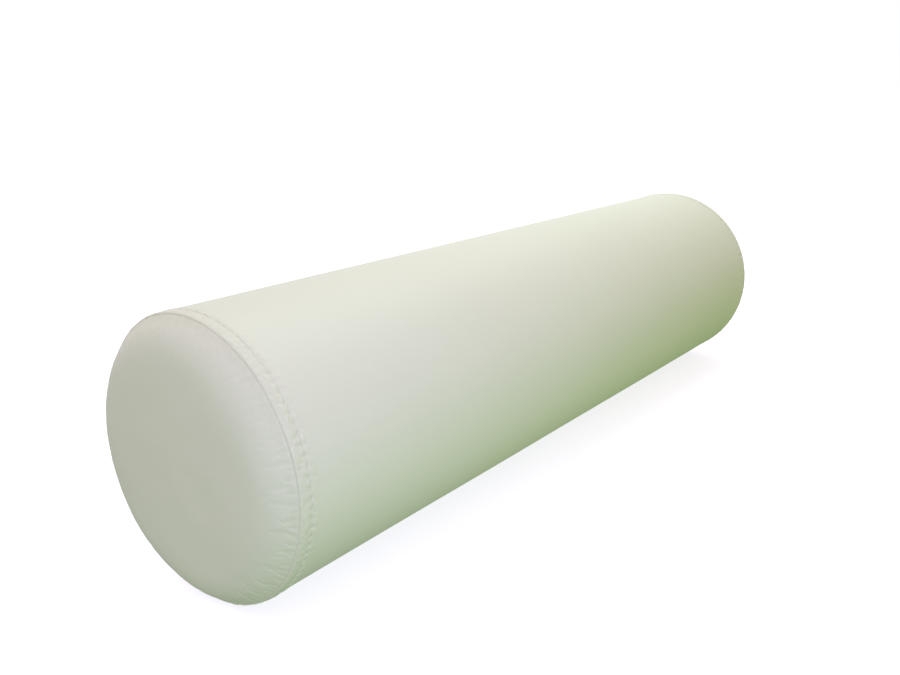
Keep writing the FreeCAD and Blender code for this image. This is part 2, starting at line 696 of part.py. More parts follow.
def make_stops():
    """A stop on each tape where the zip closes, and one stop across both tapes where it opens."""
    top = new_body("zip_top_stops", AT_ZIP, separate=True)
    for name, side in (("upper_stop", "-1"), ("lower_stop", "1")):
        section = new_sketch(top, f"{name}_section", "YZ_Plane", lift="Sizes.slider_place + 6.2")
        clasp(section, side, "-0.5", "Sizes.tooth_width + 0.4")
        pad(top, name, section, "2.8")
    finish(top, "zip_top_stops", AT_ZIP)

    bottom = new_body("zip_bottom_stop", AT_ZIP)
    chain_start = "(Sizes.slider_place + 2 - Sizes.tooth_pitch * Sizes.tooth_count)"
    plan = new_sketch(bottom, "bottom_stop_section", "YZ_Plane", lift=f"{chain_start} - 4.2")
    middle, half, slot = "Sizes.chain_radius", "(Sizes.tooth_half_height + 0.2)", "Sizes.tooth_slot"
    side, throat = "(Sizes.tooth_width + 0.6)", "(Sizes.tape_inner - 0.15)"
    right = [
        (side, f"{middle} - {half}"),
        (side, f"{middle} - {slot}"),
        (throat, f"{middle} - {slot}"),
        (throat, f"{middle} + {slot}"),
        (side, f"{middle} + {slot}"),
        (side, f"{middle} + {half}"),
    ]
    polygon(plan, right + [(f"-{x}", y) for x, y in reversed(right)])
    pad(bottom, "bottom_stop_block", plan, "3.6")
    finish(bottom, "zip_bottom_stop", AT_ZIP)


# ---- the slider -------------------------------------------------------------------------------------


def make_slider():
    """The slider: two wings joined by the post that parts the teeth, and a bridge for the pull tab."""
    place = AT_ZIP.multiply(Placement(Vector(value("Sizes.slider_place"), 0, 0), Rotation()))
    body = new_body("slider_body", place, separate=True)
    outline = new_sketch(body, "slider_outline", "XY_Plane", lift="Sizes.wing_bottom")
    egg(outline)
    solid = pad(body, "slider_solid", outline, "Sizes.wing_top - Sizes.wing_bottom")
    fillet(body, "slider_rounding", solid, lambda edge: edge.BoundBox.ZLength < 0.01, "Sizes.wing / 3")
    under_wing = "Sizes.wing_top - Sizes.wing"
    between = "Sizes.wing_top - Sizes.wing_bottom - 2 * Sizes.wing"
    cuts = (
        ("chain_channel", "-10", "10", "Sizes.channel / 2", under_wing, between),
        ("nose_mouth", "1.5", "10", "Sizes.nose_channel / 2", under_wing, between),
        ("tape_gap", "-10", "10", "10", "Sizes.chain_radius + 0.4", "1.0"),
    )
    for name, back, nose, half, top, depth in cuts:
        section = new_sketch(body, f"{name}_section", "XY_Plane", lift=top)
        rectangle(section, back, nose, f"-({half})", half)
        circle(section, "Sizes.post_place", "0", "Sizes.post_radius")
        pocket(body, name, section, depth)
    finish(body, "slider_body", place)

    crown = new_body("slider_crown", place)
    side = new_sketch(crown, "crown_side", "XZ_Plane")
    half, strip = "Sizes.crown_length / 2", "Sizes.crown_strip"
    foot, top = "Sizes.wing_top", "(Sizes.wing_top + Sizes.crown_height)"
    right = [
        (half, foot),
        (half, top),
    ]
    inner = [
        (f"{half} - {strip}", f"{top} - {strip}"),
        (f"{half} - {strip}", foot),
    ]
    left = [(f"-({x})", y) for x, y in reversed(right)]
    inner_left = [(f"-({x})", y) for x, y in reversed(inner)]
    polygon(side, right + left + inner_left + inner)
    bridge = pad(crown, "crown_bridge", side, "Sizes.crown_width", both_ways=True)
    crown_top = value(top)
    fillet(
        crown,
        "crown_rounding",
        bridge,
        lambda edge: edge.BoundBox.ZMin > crown_top - 0.01 and edge.BoundBox.XLength < 0.01,
        "Sizes.crown_strip * 1.5",
    )
    finish(crown, "slider_crown", place)

    tab = new_body("slider_pull_tab", place)
    plan = new_sketch(tab, "tab_plan", "XY_Plane", lift="Sizes.pull_axis - Sizes.pull_thickness / 2")
    arm, wide = "(Sizes.loop_width / 2 + Sizes.pull_pin)", "Sizes.pull_width / 2"
    neck, tail, nose = "-Sizes.loop_length", "-Sizes.pull_length", "Sizes.pull_pin / 2"
    upper = [
        (nose, arm),
        (f"{neck} + 1", arm),
        (f"{neck} - 2", wide),
        (f"{tail} + 2", wide),
        (tail, f"{wide} - 2"),
    ]
    polygon(plan, upper + [(x, f"-({y})") for x, y in reversed(upper)])
    paddle = pad(tab, "tab_paddle", plan, "Sizes.pull_thickness")
    fillet(
        tab,
        "tab_corners",
        paddle,
        lambda edge: edge.BoundBox.ZLength > 0.5 and edge.BoundBox.XMax < -8,
        "1.5",
    )
    cover = "Sizes.pull_axis + Sizes.pull_thickness"
    window = new_sketch(tab, "tab_loop_window", "XY_Plane", lift=cover)
    rectangle(window, neck, "1", "-Sizes.loop_width / 2", "Sizes.loop_width / 2")
    pocket(tab, "tab_loop", window, "2 * Sizes.pull_thickness")
    grip = new_sketch(tab, "tab_grip_hole", "XY_Plane", lift=cover)
    circle(grip, f"{tail} + 5", "0", "1.6")
    pocket(tab, "tab_hole", grip, "2 * Sizes.pull_thickness")
    pin = new_sketch(tab, "tab_pin_section", "XZ_Plane")
    circle(pin, "0", "Sizes.pull_axis", "Sizes.pull_pin / 2")
    pad(tab, "tab_pin", pin, "Sizes.loop_width + 0.6", both_ways=True)
    finish(tab, "slider_pull_tab", place)


# ---- build and write --------------------------------------------------------------------------------


def check():
    """Stops the build if any feature failed or any sub-part isn't one or more sound solids."""
    for feature in doc.Objects:
        if {"Invalid", "Error"} & set(feature.State):
            raise RuntimeError(f"{feature.Name} failed: {feature.State}")
    for part in subparts:
        shape = part.Shape
        if shape.isNull() or not shape.isValid() or not shape.Solids:
            raise RuntimeError(f"{part.Label} isn't a valid solid")
        if min(solid.Volume for solid in shape.Solids) <= 0:
            raise RuntimeError(f"{part.Label} has a solid turned inside out")


def write():
    os.makedirs("parts", exist_ok=True)
    for part in subparts:
        part.Shape.exportStep(f"parts/{part.Label}.step")
        box = part.Shape.BoundBox
        size = f"{box.XLength:.1f} x {box.YLength:.1f} x {box.ZLength:.1f}"
        volume = part.Shape.Volume / 1000
        print(f"{part.Label}: {len(part.Shape.Solids)} solids, {size} mm, {volume:.2f} cm3")


make_sleeve()
make_end_panels()
make_stuffing()
make_end_sewing()
make_tapes()
make_chain()
make_stops()
make_zip_sewing()
make_slider()
doc.recompute()
check()
write()
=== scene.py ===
"""A round massage bolster: a foam roll in a sewn cream vinyl cover, with a zip along its back.

The cover is one sleeve and two end discs. A cloth simulation of a cover's end, blown out against its
stitch holes and seam, gives the gathers beside the sewing. They are laid over the cover's cut shape, and
the stitches, hems and folds come after them. All sizes are in metres, in the frame of the CAD model.
"""

import json
import math

import bpy
import numpy as np
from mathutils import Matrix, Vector


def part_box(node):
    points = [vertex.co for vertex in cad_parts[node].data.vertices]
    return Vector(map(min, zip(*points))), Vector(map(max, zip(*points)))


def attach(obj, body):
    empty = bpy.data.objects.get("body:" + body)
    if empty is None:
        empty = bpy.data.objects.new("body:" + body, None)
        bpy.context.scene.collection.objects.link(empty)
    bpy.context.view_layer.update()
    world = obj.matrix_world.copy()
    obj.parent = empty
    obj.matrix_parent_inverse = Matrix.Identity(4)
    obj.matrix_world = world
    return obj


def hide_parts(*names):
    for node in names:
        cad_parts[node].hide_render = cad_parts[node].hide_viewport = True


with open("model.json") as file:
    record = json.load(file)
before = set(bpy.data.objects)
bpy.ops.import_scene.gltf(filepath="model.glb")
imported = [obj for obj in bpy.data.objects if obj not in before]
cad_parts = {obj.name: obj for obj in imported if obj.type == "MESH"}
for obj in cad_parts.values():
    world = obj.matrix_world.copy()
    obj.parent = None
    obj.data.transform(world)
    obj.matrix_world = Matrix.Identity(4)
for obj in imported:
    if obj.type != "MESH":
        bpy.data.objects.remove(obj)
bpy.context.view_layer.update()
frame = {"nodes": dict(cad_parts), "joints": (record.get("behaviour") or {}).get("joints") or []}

MM = 0.001
TURN = 2 * math.pi

# ---- places, from the frame ---------------------------------------------------------------------------

sleeve_low, sleeve_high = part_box("sleeve_panel")
RADIUS = round((sleeve_high.y - sleeve_low.y) / 2, 4)
HALF_SPAN = sleeve_high.x  # from the middle to each end seam
AXIS_Z = sleeve_high.z - RADIUS

# The zip's own directions: out from the roll's axis, and across the zip.
hinge = next(j for j in frame["joints"] if j["name"] == "pull_tab_hinge")
ACROSS = np.array(hinge["axis"], float)
OUT = np.array([0.0, -ACROSS[2], ACROSS[1]])
ZIP_TURN = math.atan2(ACROSS[2], ACROSS[1])

# ---- sewing -------------------------------------------------------------------------------------------

STITCHES_ROUND = 94
STITCH = 6 * MM
FINE_STEPS = 8  # of the sleeve's finest grid in one stitch
FINE = STITCH / FINE_STEPS
COLUMNS = STITCHES_ROUND * FINE_STEPS
SETBACK = 8 * MM  # of the topstitching, from the end seam
HEM = 11 * MM
HEM_RISE = 0.3 * MM  # of the vinyl over the turned edge beside the zip's window
ZIP_ROW = 10.5 * MM  # from the zip's middle to each row of topstitching
ZIP_ROW_END = 309 * MM
WINDOW_END = 268 * MM
BARTACK_AT = WINDOW_END + 1.6 * MM
BARTACK_HALF = 7.4 * MM  # half its length, across the zip
THREAD = 0.27 * MM  # radius of the topstitching thread

rng = np.random.default_rng(18)


# ---- the roll's surface -------------------------------------------------------------------------------


def bump(distance, width):
    """1 at no distance, and falling smoothly to nothing over a few widths."""
    return np.exp(-((distance / width) ** 2))


def step(value, edge, width):
    """0 below the edge and 1 above it, over a width."""
    return 0.5 + 0.5 * np.tanh((value - edge) / width)


def wrap(angle):
    """The angle between -pi and pi."""
    return (angle + math.pi) % TURN - math.pi


def waves(along, angle, seed, length, amount):
    """Soft unevenness of stuffing: a few slow waves over a surface."""
    draw = np.random.default_rng(seed)
    total = np.zeros(np.broadcast(along, angle).shape)
    for count in range(1, 6):
        phase = draw.uniform(0, TURN, 2)
        share = draw.normal() / count
        round_it = np.sin(count * angle + phase[0])
        along_it = np.sin(TURN * along / length * count + phase[1])
        total = total + share * round_it * along_it
    return total * amount


def from_roll(x, angle, radius):
    """Points at an angle round the roll, counted from the zip, as an array of places."""
    y, z = radius * np.cos(angle), radius * np.sin(angle)
    x = np.broadcast_to(x, y.shape)
    return np.stack([x, y * OUT[1] + z * ACROSS[1], AXIS_Z + y * OUT[2] + z * ACROSS[2]], -1)


def from_zip(x, across, out):
    """Points in the zip's own directions: along, across and out from the roll's axis."""
    x, across, out = np.broadcast_arrays(x, across, out)
    return np.stack([x, out * OUT[1] + across * ACROSS[1], AXIS_Z + out * OUT[2] + across * ACROSS[2]], -1)


def outwards(angle):
    """The direction straight out from the roll's axis, at an angle counted from the zip."""
    return from_roll(0.0, angle, np.ones_like(angle)) - [0, 0, AXIS_Z]


def press(points, clearance=0.0):
    """Flattens what would sink into the floor, with a soft turn at the flat's edges."""
    soft = 0.6 * MM
    z = points[..., 2] - clearance
    near = np.clip(1 - np.abs(z) / soft, 0, 1)
    pressed = np.maximum(z, 0) + near**2 * soft / 4 + clearance
    return np.concatenate([points[..., :2], pressed[..., None]], -1)


# ---- the end discs' outline ---------------------------------------------------------------------------

SHOULDER = 26 * MM  # its length along the disc, from the seam
SHOULDER_EASE = 0.3  # how gently the shoulder turns into the dome
SEAM_SLOPE = math.radians(58.5)
RIM_SLOPE = math.radians(0.5)
SEAM_RADIUS = RADIUS - 2 * MM


def profile():
    """The disc's outline from its seam to its middle: distances along it, places out and radii. The slope
    is steep at the seam, falls evenly over the shoulder and eases into a shallow dome."""
    along = np.linspace(0, 1.3 * SEAM_RADIUS, 4000)
    left = 1 - along / SHOULDER
    shoulder = 0.5 * (left + np.hypot(left, SHOULDER_EASE))
    slope = RIM_SLOPE * np.clip(1 - along / SEAM_RADIUS, 0, 1) + (SEAM_SLOPE - RIM_SLOPE) * shoulder
    stride = along[1]
    out = np.cumsum(np.sin(slope)) * stride
    radius = SEAM_RADIUS - np.cumsum(np.cos(slope)) * stride
    return along, out, radius


PROFILE_ALONG, PROFILE_OUT, PROFILE_RADIUS = profile()
DISC_LENGTH = float(np.interp(0, -PROFILE_RADIUS, PROFILE_ALONG))


def disc_outline(along):
    """How far out and how far from the axis a point of the disc lies, by its distance from the seam. A
    negative distance is the disc's edge, turned in under the sleeve's hem."""
    out = np.interp(along, PROFILE_ALONG, PROFILE_OUT)
    radius = np.interp(along, PROFILE_ALONG, PROFILE_RADIUS)
    return out + np.minimum(along, 0), radius


# ---- the gathers beside the sewing, by cloth simulation ------------------------------------------------

SIM_STITCH = 4  # the simulation's columns in one stitch
SIM_COLUMNS = STITCHES_ROUND * SIM_STITCH
SIM_FRAMES = 20
# Distances along the cover from the end seam: below 0 on the sleeve, above 0 on the disc. The rows stand
# closer together beside the sewing.
FAR_SLEEVE_ROWS = [-44, -38, -33, -28.5, -24.5, -21, -18, -15.5, -13.5, -12]
NEAR_SLEEVE_ROWS = [-10.7, -9.3, -8, -6.7, -5.4, -4.1, -2.8, -1.5, -0.6]
NEAR_DISC_ROWS = [0, 1.3, 2.6, 3.9, 5.2, 6.5, 7.8, 9.1]
FAR_DISC_ROWS = [10.6, 12.4, 14.5, 17, 20, 23.5, 27.5, 32, 37]
SIM_ROWS = MM * np.array(FAR_SLEEVE_ROWS + NEAR_SLEEVE_ROWS + NEAR_DISC_ROWS + FAR_DISC_ROWS)
SIM_ANGLES = np.arange(SIM_COLUMNS) * TURN / SIM_COLUMNS
MOST_ON_SLEEVE = 1.0 * MM  # that the gathers may move a point
MOST_ON_DISC = 0.15 * MM


def rest_of_end():
    """The simulated end's rows at rest: how far out from the seam, and how far from the axis."""
    out, radius = disc_outline(SIM_ROWS)
    on_sleeve = SIM_ROWS < 0
    out = np.where(on_sleeve, SIM_ROWS, out)
    radius = np.where(on_sleeve, RADIUS - 0.7 * MM * bump(SIM_ROWS + SETBACK, 1.6 * MM), radius)
    return out, radius


def band(first, size):
    """Faces between a ring of points and the next ring, each of one size, by the first point's number."""
    around = [(first + n, first + (n + 1) % size) for n in range(size)]
    return [(a, b, b + size, a + size) for a, b in around]


def looseness(draw):
    """How much too large the cover is cut at each point, as a share of the most: greatest beside the
    sewing, and uneven round the roll."""
    uneven = np.zeros(SIM_COLUMNS)
    for n in range(2, 16):
        uneven += draw.normal() / math.sqrt(n) * np.cos(n * SIM_ANGLES + draw.uniform(0, TURN))
    uneven = uneven / np.abs(uneven).max()
    beside = np.where(SIM_ROWS < 0, bump(SIM_ROWS + SETBACK / 2, 10 * MM), bump(SIM_ROWS, 12 * MM))
    return beside[:, None] * (0.6 + 0.4 * uneven[None])


def held_points():
    """The numbers of the points that don't move: the seam, the stitch holes, and the two outer rows."""
    seam_row = int(np.argmin(np.abs(SIM_ROWS)))
    held = [i * SIM_COLUMNS + j for i in (0, seam_row, len(SIM_ROWS) - 1) for j in range(SIM_COLUMNS)]
    stitch_row = int(np.argmin(np.abs(SIM_ROWS + SETBACK)))
    first_hole = SIM_STITCH // 2
    return held + [stitch_row * SIM_COLUMNS + j for j in range(first_hole, SIM_COLUMNS, SIM_STITCH)]


def add_cloth(end):
    """Makes an object stretchy vinyl, pinned where it is sewn and blown out by the stuffing."""
    cloth = end.modifiers.new("cloth", "CLOTH")
    cloth.point_cache.frame_end = SIM_FRAMES
    vinyl = cloth.settings
    vinyl.quality = 5
    vinyl.mass = 0.001
    vinyl.tension_stiffness = vinyl.compression_stiffness = 60
    vinyl.shear_stiffness = 20
    vinyl.bending_stiffness = 0.02
    vinyl.use_pressure = True
    vinyl.uniform_pressure_force = 600
    vinyl.vertex_group_mass = "sewn"
    vinyl.vertex_group_shrink = "taut"
    vinyl.shrink_min = -0.03
    vinyl.shrink_max = 0
    vinyl.effector_weights.gravity = 0
    cloth.collision_settings.use_self_collision = False


def settle_end(seed):
    """Simulates one end of the cover: pinned at its seam and stitch holes, cut a little too large beside
    them, and pressed outwards by the stuffing. Gives how far each point moved, out and from the axis."""
    draw = np.random.default_rng(seed)
    rows = len(SIM_ROWS)
    out, radius = rest_of_end()
    grid = np.stack(
        [
            np.broadcast_to(out[:, None], (rows, SIM_COLUMNS)),
            radius[:, None] * np.cos(SIM_ANGLES),
            radius[:, None] * np.sin(SIM_ANGLES),
        ],
        -1,
    )
    start = grid + draw.normal(0, 0.01 * MM, grid.shape)
    faces = [face for row in range(rows - 1) for face in band(row * SIM_COLUMNS, SIM_COLUMNS)]
    mesh = bpy.data.meshes.new("settling_end")
    mesh.from_pydata(start.reshape(-1, 3).tolist(), [], faces)
    end = bpy.data.objects.new("settling_end", mesh)
    bpy.context.scene.collection.objects.link(end)
    taut = end.vertex_groups.new(name="taut")
    for number, share in enumerate((1 - looseness(draw)).ravel()):
        taut.add([number], float(share), "REPLACE")
    end.vertex_groups.new(name="sewn").add(held_points(), 1.0, "REPLACE")
    add_cloth(end)
    for number in range(1, SIM_FRAMES + 1):
        bpy.context.scene.frame_set(number)
    settled = end.evaluated_get(bpy.context.evaluated_depsgraph_get()).to_mesh()
    places = np.zeros(rows * SIM_COLUMNS * 3, np.float32)
    settled.vertices.foreach_get("co", places)
    places = places.reshape(rows, SIM_COLUMNS, 3).astype(float)
    bpy.data.objects.remove(end)
    bpy.context.scene.frame_set(1)
    moved_out = places[..., 0] - grid[..., 0]
    moved_from_axis = np.hypot(places[..., 1], places[..., 2]) - radius[:, None]
    return np.stack([moved_out, moved_from_axis], -1)


def gathers(seed):
    """How the simulated end differs from a smooth one: each row's own average is taken away, because the
    cover's cut shape already has it, and no point moves far."""
    moved = settle_end(seed)
    moved = moved - moved.mean(axis=1, keepdims=True)
    most = np.where(SIM_ROWS < 0, MOST_ON_SLEEVE, MOST_ON_DISC)[:, None, None]
    return most * np.tanh(moved / most)


GATHERS = {-1: gathers(3), 1: gathers(4)}


def cubic(t):
    """Weights of four neighbours for a place t of the way from the second to the third."""
    return np.stack(
        [
            -0.5 * t + t**2 - 0.5 * t**3,
            1 - 2.5 * t**2 + 1.5 * t**3,
            0.5 * t + 2 * t**2 - 1.5 * t**3,
            -0.5 * t**2 + 0.5 * t**3,
        ]
    )


def gathered(end, along, angle):
    """The gathers of one end (-1 front, 1 rear), smoothly between the simulation's points."""
    rows = len(SIM_ROWS)
    row = np.interp(along, SIM_ROWS, np.arange(rows))
    column = (angle % TURN) / TURN * SIM_COLUMNS
    i, j = np.floor(row).astype(int), np.floor(column).astype(int)
    row_share, column_share = cubic(row - i), cubic(column - j)
    total = 0
    for a in range(4):
        for b in range(4):
            value = GATHERS[end][np.clip(i + a - 1, 0, rows - 1), (j + b - 1) % SIM_COLUMNS]
            total = total + value * (row_share[a] * column_share[b])[..., None]
    return total


# ---- the sleeve ---------------------------------------------------------------------------------------


def nearest_hole(angle):
    """The distance along an end's topstitching to the nearest hole, and which hole that is."""
    number = angle / TURN * STITCHES_ROUND - 0.5
    return (number - np.round(number)) * STITCH, np.round(number).astype(int) % STITCHES_ROUND


# How hard each stitch was drawn down, and how far its pucker leans, at the front end and the rear end.
DRAWN = {end: rng.uniform(0.55, 1.25, STITCHES_ROUND) for end in (-1, 1)}
LEAN = {end: rng.normal(0, 0.18, STITCHES_ROUND) for end in (-1, 1)}


def ring_sewing(end, inward, angle):
    """The dents that an end's topstitching draws into the sleeve: a shallow groove, a dent at each hole,
    and a pucker that runs on from the hole towards the seam."""
    row = inward - SETBACK
    beside, hole = nearest_hole(angle)
    drawn, lean = DRAWN[end][hole], LEAN[end][hole]
    groove = -0.12 * MM * bump(row, 1.3 * MM)
    dent = -0.5 * MM * drawn * bump(np.hypot(beside, row), 1.35 * MM)
    towards_seam = step(-row, 0.8 * MM, 0.5 * MM) * step(inward, 1.8 * MM, 0.7 * MM)
    pucker = -0.2 * MM * drawn**2 * bump(beside + lean * row, 1.0 * MM) * towards_seam
    behind = -0.1 * MM * drawn**2 * bump(beside, 1.4 * MM) * bump(row, 3.5 * MM)
    quilted = 0.1 * MM * bump(row - 4.0 * MM, 2.6 * MM) + 0.14 * MM * bump(row + 3.6 * MM, 2.4 * MM)
    return groove + dent + pucker + behind + quilted


def sleeve_point(x, angle, radius=RADIUS):
    """Where the sleeve's surface lies. x and angle say where on the cut panel, and radius how far from
    the axis that is before the sewing and the stuffing shape it."""
    x, angle, radius = np.broadcast_arrays(x, angle, radius)
    inward = HALF_SPAN - np.abs(x)
    across = RADIUS * wrap(angle)
    end = np.where(x < 0, -1, 1)
    moved = np.where((end < 0)[..., None], gathered(-1, -inward, angle), gathered(1, -inward, angle))

    hem = 0.16 * MM * step(HEM + 0.6 * MM, inward, 0.5 * MM)
    ring = np.where(end < 0, ring_sewing(-1, inward, angle), ring_sewing(1, inward, angle))

    beside_zip = np.abs(across) - ZIP_ROW
    along_zip = step(ZIP_ROW_END + 2 * MM, np.abs(x), 1 * MM)
    to_hole = (x / STITCH - 0.5 - np.round(x / STITCH - 0.5)) * STITCH
    zip_groove = along_zip * (
        -0.2 * MM * bump(beside_zip, 1.1 * MM) - 0.5 * MM * bump(np.hypot(to_hole, beside_zip), 1.1 * MM)
    )
    zip_hem = 0.2 * MM * step(18.4 * MM, np.abs(across), 0.6 * MM)
    lips = 0.12 * MM * bump(np.abs(across) - 1.4 * MM, 1.0 * MM)
    side_seam = lips - 0.95 * MM * bump(across, 0.33 * MM)
    along_bartack = step(BARTACK_HALF, np.abs(across), 0.7 * MM)
    under_bartack = -0.45 * MM * bump(np.abs(x) - BARTACK_AT, 1.9 * MM) * along_bartack

    slack = waves(x, angle, 5, 0.9, 0.22 * MM)
    fade = step(inward, 1.0 * MM, 0.5 * MM)
    rolled = -0.25 * MM * bump(inward, 2.4 * MM)
    relief = hem + ring + zip_groove + zip_hem + side_seam + under_bartack + slack
    out_of_line = waves(0.4, 3 * angle, 9, 1.0, 0.08 * MM) * bump(inward, 6 * MM)
    x = x + end * (moved[..., 0] + out_of_line)
    return press(from_roll(x, angle, radius + relief * fade + rolled + moved[..., 1]))


# The fold at each end: a half turn of the vinyl, from the sleeve's outside to under its hem.
FOLD_RADIUS = 1.0 * MM
FOLD_STEPS = 10
HALF_ROWS = 432  # of the sleeve's finest grid, from its middle to just round the start of the fold
FLAT_ROWS = 429
TURNED_EDGE = (4 * MM, RADIUS - 2 * MM)  # where the turned end goes out of sight: inward, and from the axis


def fold_point(turned):
    """A place on the fold, by how many steps it has turned: (inward from the seam, from the axis)."""
    angle = math.pi / 2 + np.asarray(turned, float) * math.pi / FOLD_STEPS
    return FOLD_RADIUS * (1 + np.cos(angle)), RADIUS + FOLD_RADIUS * (np.sin(angle) - 1)


def sleeve_rows():
    """x and radius of every row of the finest grid."""
    row = np.arange(-HALF_ROWS, HALF_ROWS + 1)
    x = row * FINE
    radius = np.full(len(row), RADIUS)
    folded = np.abs(row) > FLAT_ROWS
    inward, from_axis = fold_point(np.abs(row[folded]) - FLAT_ROWS)
    x[folded] = np.sign(row[folded]) * (HALF_SPAN - inward)
    radius[folded] = from_axis
    return x, radius


# Where the first columns beside the side seam are drawn in to, counted in columns from the seam.
DRAWN_IN = (0, 0.4, 1.13333333, 2.4, 4, 5)


def columns_near_seam():
    """The angle of each column of the finest grid, drawn in towards the side seam's narrow groove."""
    column = np.arange(COLUMNS)
    side = np.where(column > COLUMNS // 2, column - COLUMNS, column)
    drawn = np.interp(np.abs(side), range(len(DRAWN_IN)), DRAWN_IN)
    near = np.abs(side) < len(DRAWN_IN)
    return np.where(near, np.sign(side) * drawn, side) * TURN / COLUMNS


def cells(row_count, column_count, largest, wanted):
    """Covers a grid with rectangles, each no larger than wanted(row, column) says at its middle."""
    kept = []
    rows, columns = largest
    corners = [(i, j) for i in range(0, row_count, rows) for j in range(0, column_count, columns)]
    stack = [(i, j, rows, columns) for i, j in corners]
    while stack:
        i, j, di, dj = stack.pop()
        most = wanted(i + di / 2, j + dj / 2)
        if di > most[0] and di > 1:
            half = di // 2
            stack += [(i, j, half, dj), (i + half, j, half, dj)]
        elif dj > most[1] and dj > 1:
            half = dj // 2
            stack += [(i, j, di, half), (i, j + half, di, half)]
        else:
            kept.append((i, j, di, dj))
    return kept


def outlines(kept, column_count):
    """Each rectangle as a closed run of grid points, with its neighbours' corners among them, so that
    large and small rectangles meet without gaps."""
    corners = set()
    for i, j, di, dj in kept:
        for a, b in ((i, j), (i + di, j), (i, j + dj), (i + di, j + dj)):
            corners.add((a, b % column_count))
    runs = []
    for i, j, di, dj in kept:
        run = [(i, j + b) for b in range(dj)]
        run += [(i + a, j + dj) for a in range(di)]
        run += [(i + di, j + dj - b) for b in range(dj)]
        run += [(i + di - a, j) for a in range(di)]
        runs.append([p for p in ((a, b % column_count) for a, b in run) if p in corners])
    return runs


def numbered(runs):
    """The grid points that the runs pass through, in order, and the number of each."""
    points = sorted({p for run in runs for p in run})
    return points, {p: n for n, p in enumerate(points)}


def piece(name, places, faces, smooth=True):
    """A new mesh object, from places and faces."""
    mesh = bpy.data.meshes.new(name)
    mesh.from_pydata(np.asarray(places).tolist(), [], faces)
    mesh.validate()
    if smooth:
        mesh.shade_smooth()
    else:
        mesh.shade_flat()
    made = bpy.data.objects.new(name, mesh)
    bpy.context.scene.collection.objects.link(made)
    return made


def note_sewing_wear_and_shade(made, share):
    """Keeps how near the sewing each point is, for the vinyl's darker tone there, partly wear and dirt and
    partly painted shade: 0.5 beside it, 1 in a hole.
    """
    layer = made.data.attributes.new("sewing", "FLOAT", "POINT")
    layer.data.foreach_set("value", np.asarray(share, np.float32))


# The zip's window, in steps of the finest grid from the zip's middle.
WINDOW_COLUMN = 10
WINDOW_ROW = 358
LARGEST_CELL = (16, 4)
# The window's folded edge: how far in over the window, and how far down, from the edge of the flat vinyl.
WINDOW_FOLD = MM * np.array(
    [
        (0.2, 0.03),
        (0.38, 0.14),
        (0.5, 0.34),
        (0.55, 0.65),
        (0.55, 1.1),
        (0.45, 1.5),
        (0.25, 1.8),
        (-1.5, 1.95),
    ]
)


def sleeve_cell(row, column):
    """The largest cell of the sleeve's grid that keeps its detail there: fine beside the sewing."""
    inward = HALF_SPAN - abs(row - HALF_ROWS) * FINE
    side = abs(column - COLUMNS if column > COLUMNS / 2 else column) * FINE
    beside = abs(side - ZIP_ROW)
    if inward < 13 * MM or beside < 3 * MM or side < 8 * MM:
        return 1, 1
    if inward < 20 * MM or side < 20 * MM:
        return 2, 2
    if inward < 46 * MM:
        return 4, 4
    return LARGEST_CELL


def outside_window(cell):
    """Whether the middle of a cell of the sleeve's grid lies outside the zip's window."""
    i, j, di, dj = cell
    row, column = i + di / 2, j + dj / 2
    return abs(row - HALF_ROWS) > WINDOW_ROW or min(column, COLUMNS - column) > WINDOW_COLUMN


def skirt(places, faces, loop, layers, inside_out=False):
    """Adds rows of points, each as long as the loop, and joins them on from a loop of the mesh's points.
    places holds the mesh's points so far, in parts."""
    size = len(loop)
    first = sum(len(part) for part in places)
    before = loop
    for layer in layers:
        places.append(layer)
        after = list(range(first, first + size))
        for n in range(size):
            quad = [before[n], before[(n + 1) % size], after[(n + 1) % size], after[n]]
            faces.append(quad[::-1] if inside_out else quad)
        before = after
        first += size


def tuck_end(end, places, faces, number, angle_of):
    """Turns one end of the sleeve under, round its fold and a little way back."""
    edge = HALF_ROWS + end * HALF_ROWS
    loop = [number[(edge, j)] for j in range(COLUMNS)]
    turns = range(HALF_ROWS - FLAT_ROWS + 1, FOLD_STEPS + 1)
    layers = []
    for inward, from_axis in [fold_point(turned) for turned in turns] + [TURNED_EDGE]:
        layers.append(sleeve_point(end * (HALF_SPAN - inward), angle_of, from_axis))
    skirt(places, faces, loop, layers, inside_out=end > 0)


def fold_window(places, faces, number, x_of, across_of):
    """Turns the vinyl under all round the zip's window."""
    low, high = HALF_ROWS - WINDOW_ROW, HALF_ROWS + WINDOW_ROW
    border = [(i, WINDOW_COLUMN) for i in range(low, high)]
    border += [(high, j) for j in range(WINDOW_COLUMN, -WINDOW_COLUMN, -1)]
    border += [(i, -WINDOW_COLUMN) for i in range(high, low, -1)]
    border += [(low, j) for j in range(-WINDOW_COLUMN, WINDOW_COLUMN)]
    border = [(i, j) for i, j in border if (i, j % COLUMNS) in number]
    loop = [number[(i, j % COLUMNS)] for i, j in border]
    edge = np.array([(x_of[i], across_of[j % COLUMNS]) for i, j in border])
    i, j = np.array(border).T
    along_it = (i == low) * 1.0 - (i == high)
    across_it = (j == -WINDOW_COLUMN) * 1.0 - (j == WINDOW_COLUMN)
    towards_middle = np.stack([along_it, across_it], -1)
    layers = []
    for over, down in WINDOW_FOLD:
        x, across = (edge + towards_middle * over).T
        layers.append(from_roll(x, across / RADIUS, RADIUS + HEM_RISE - down))
    skirt(places, faces, loop, layers)


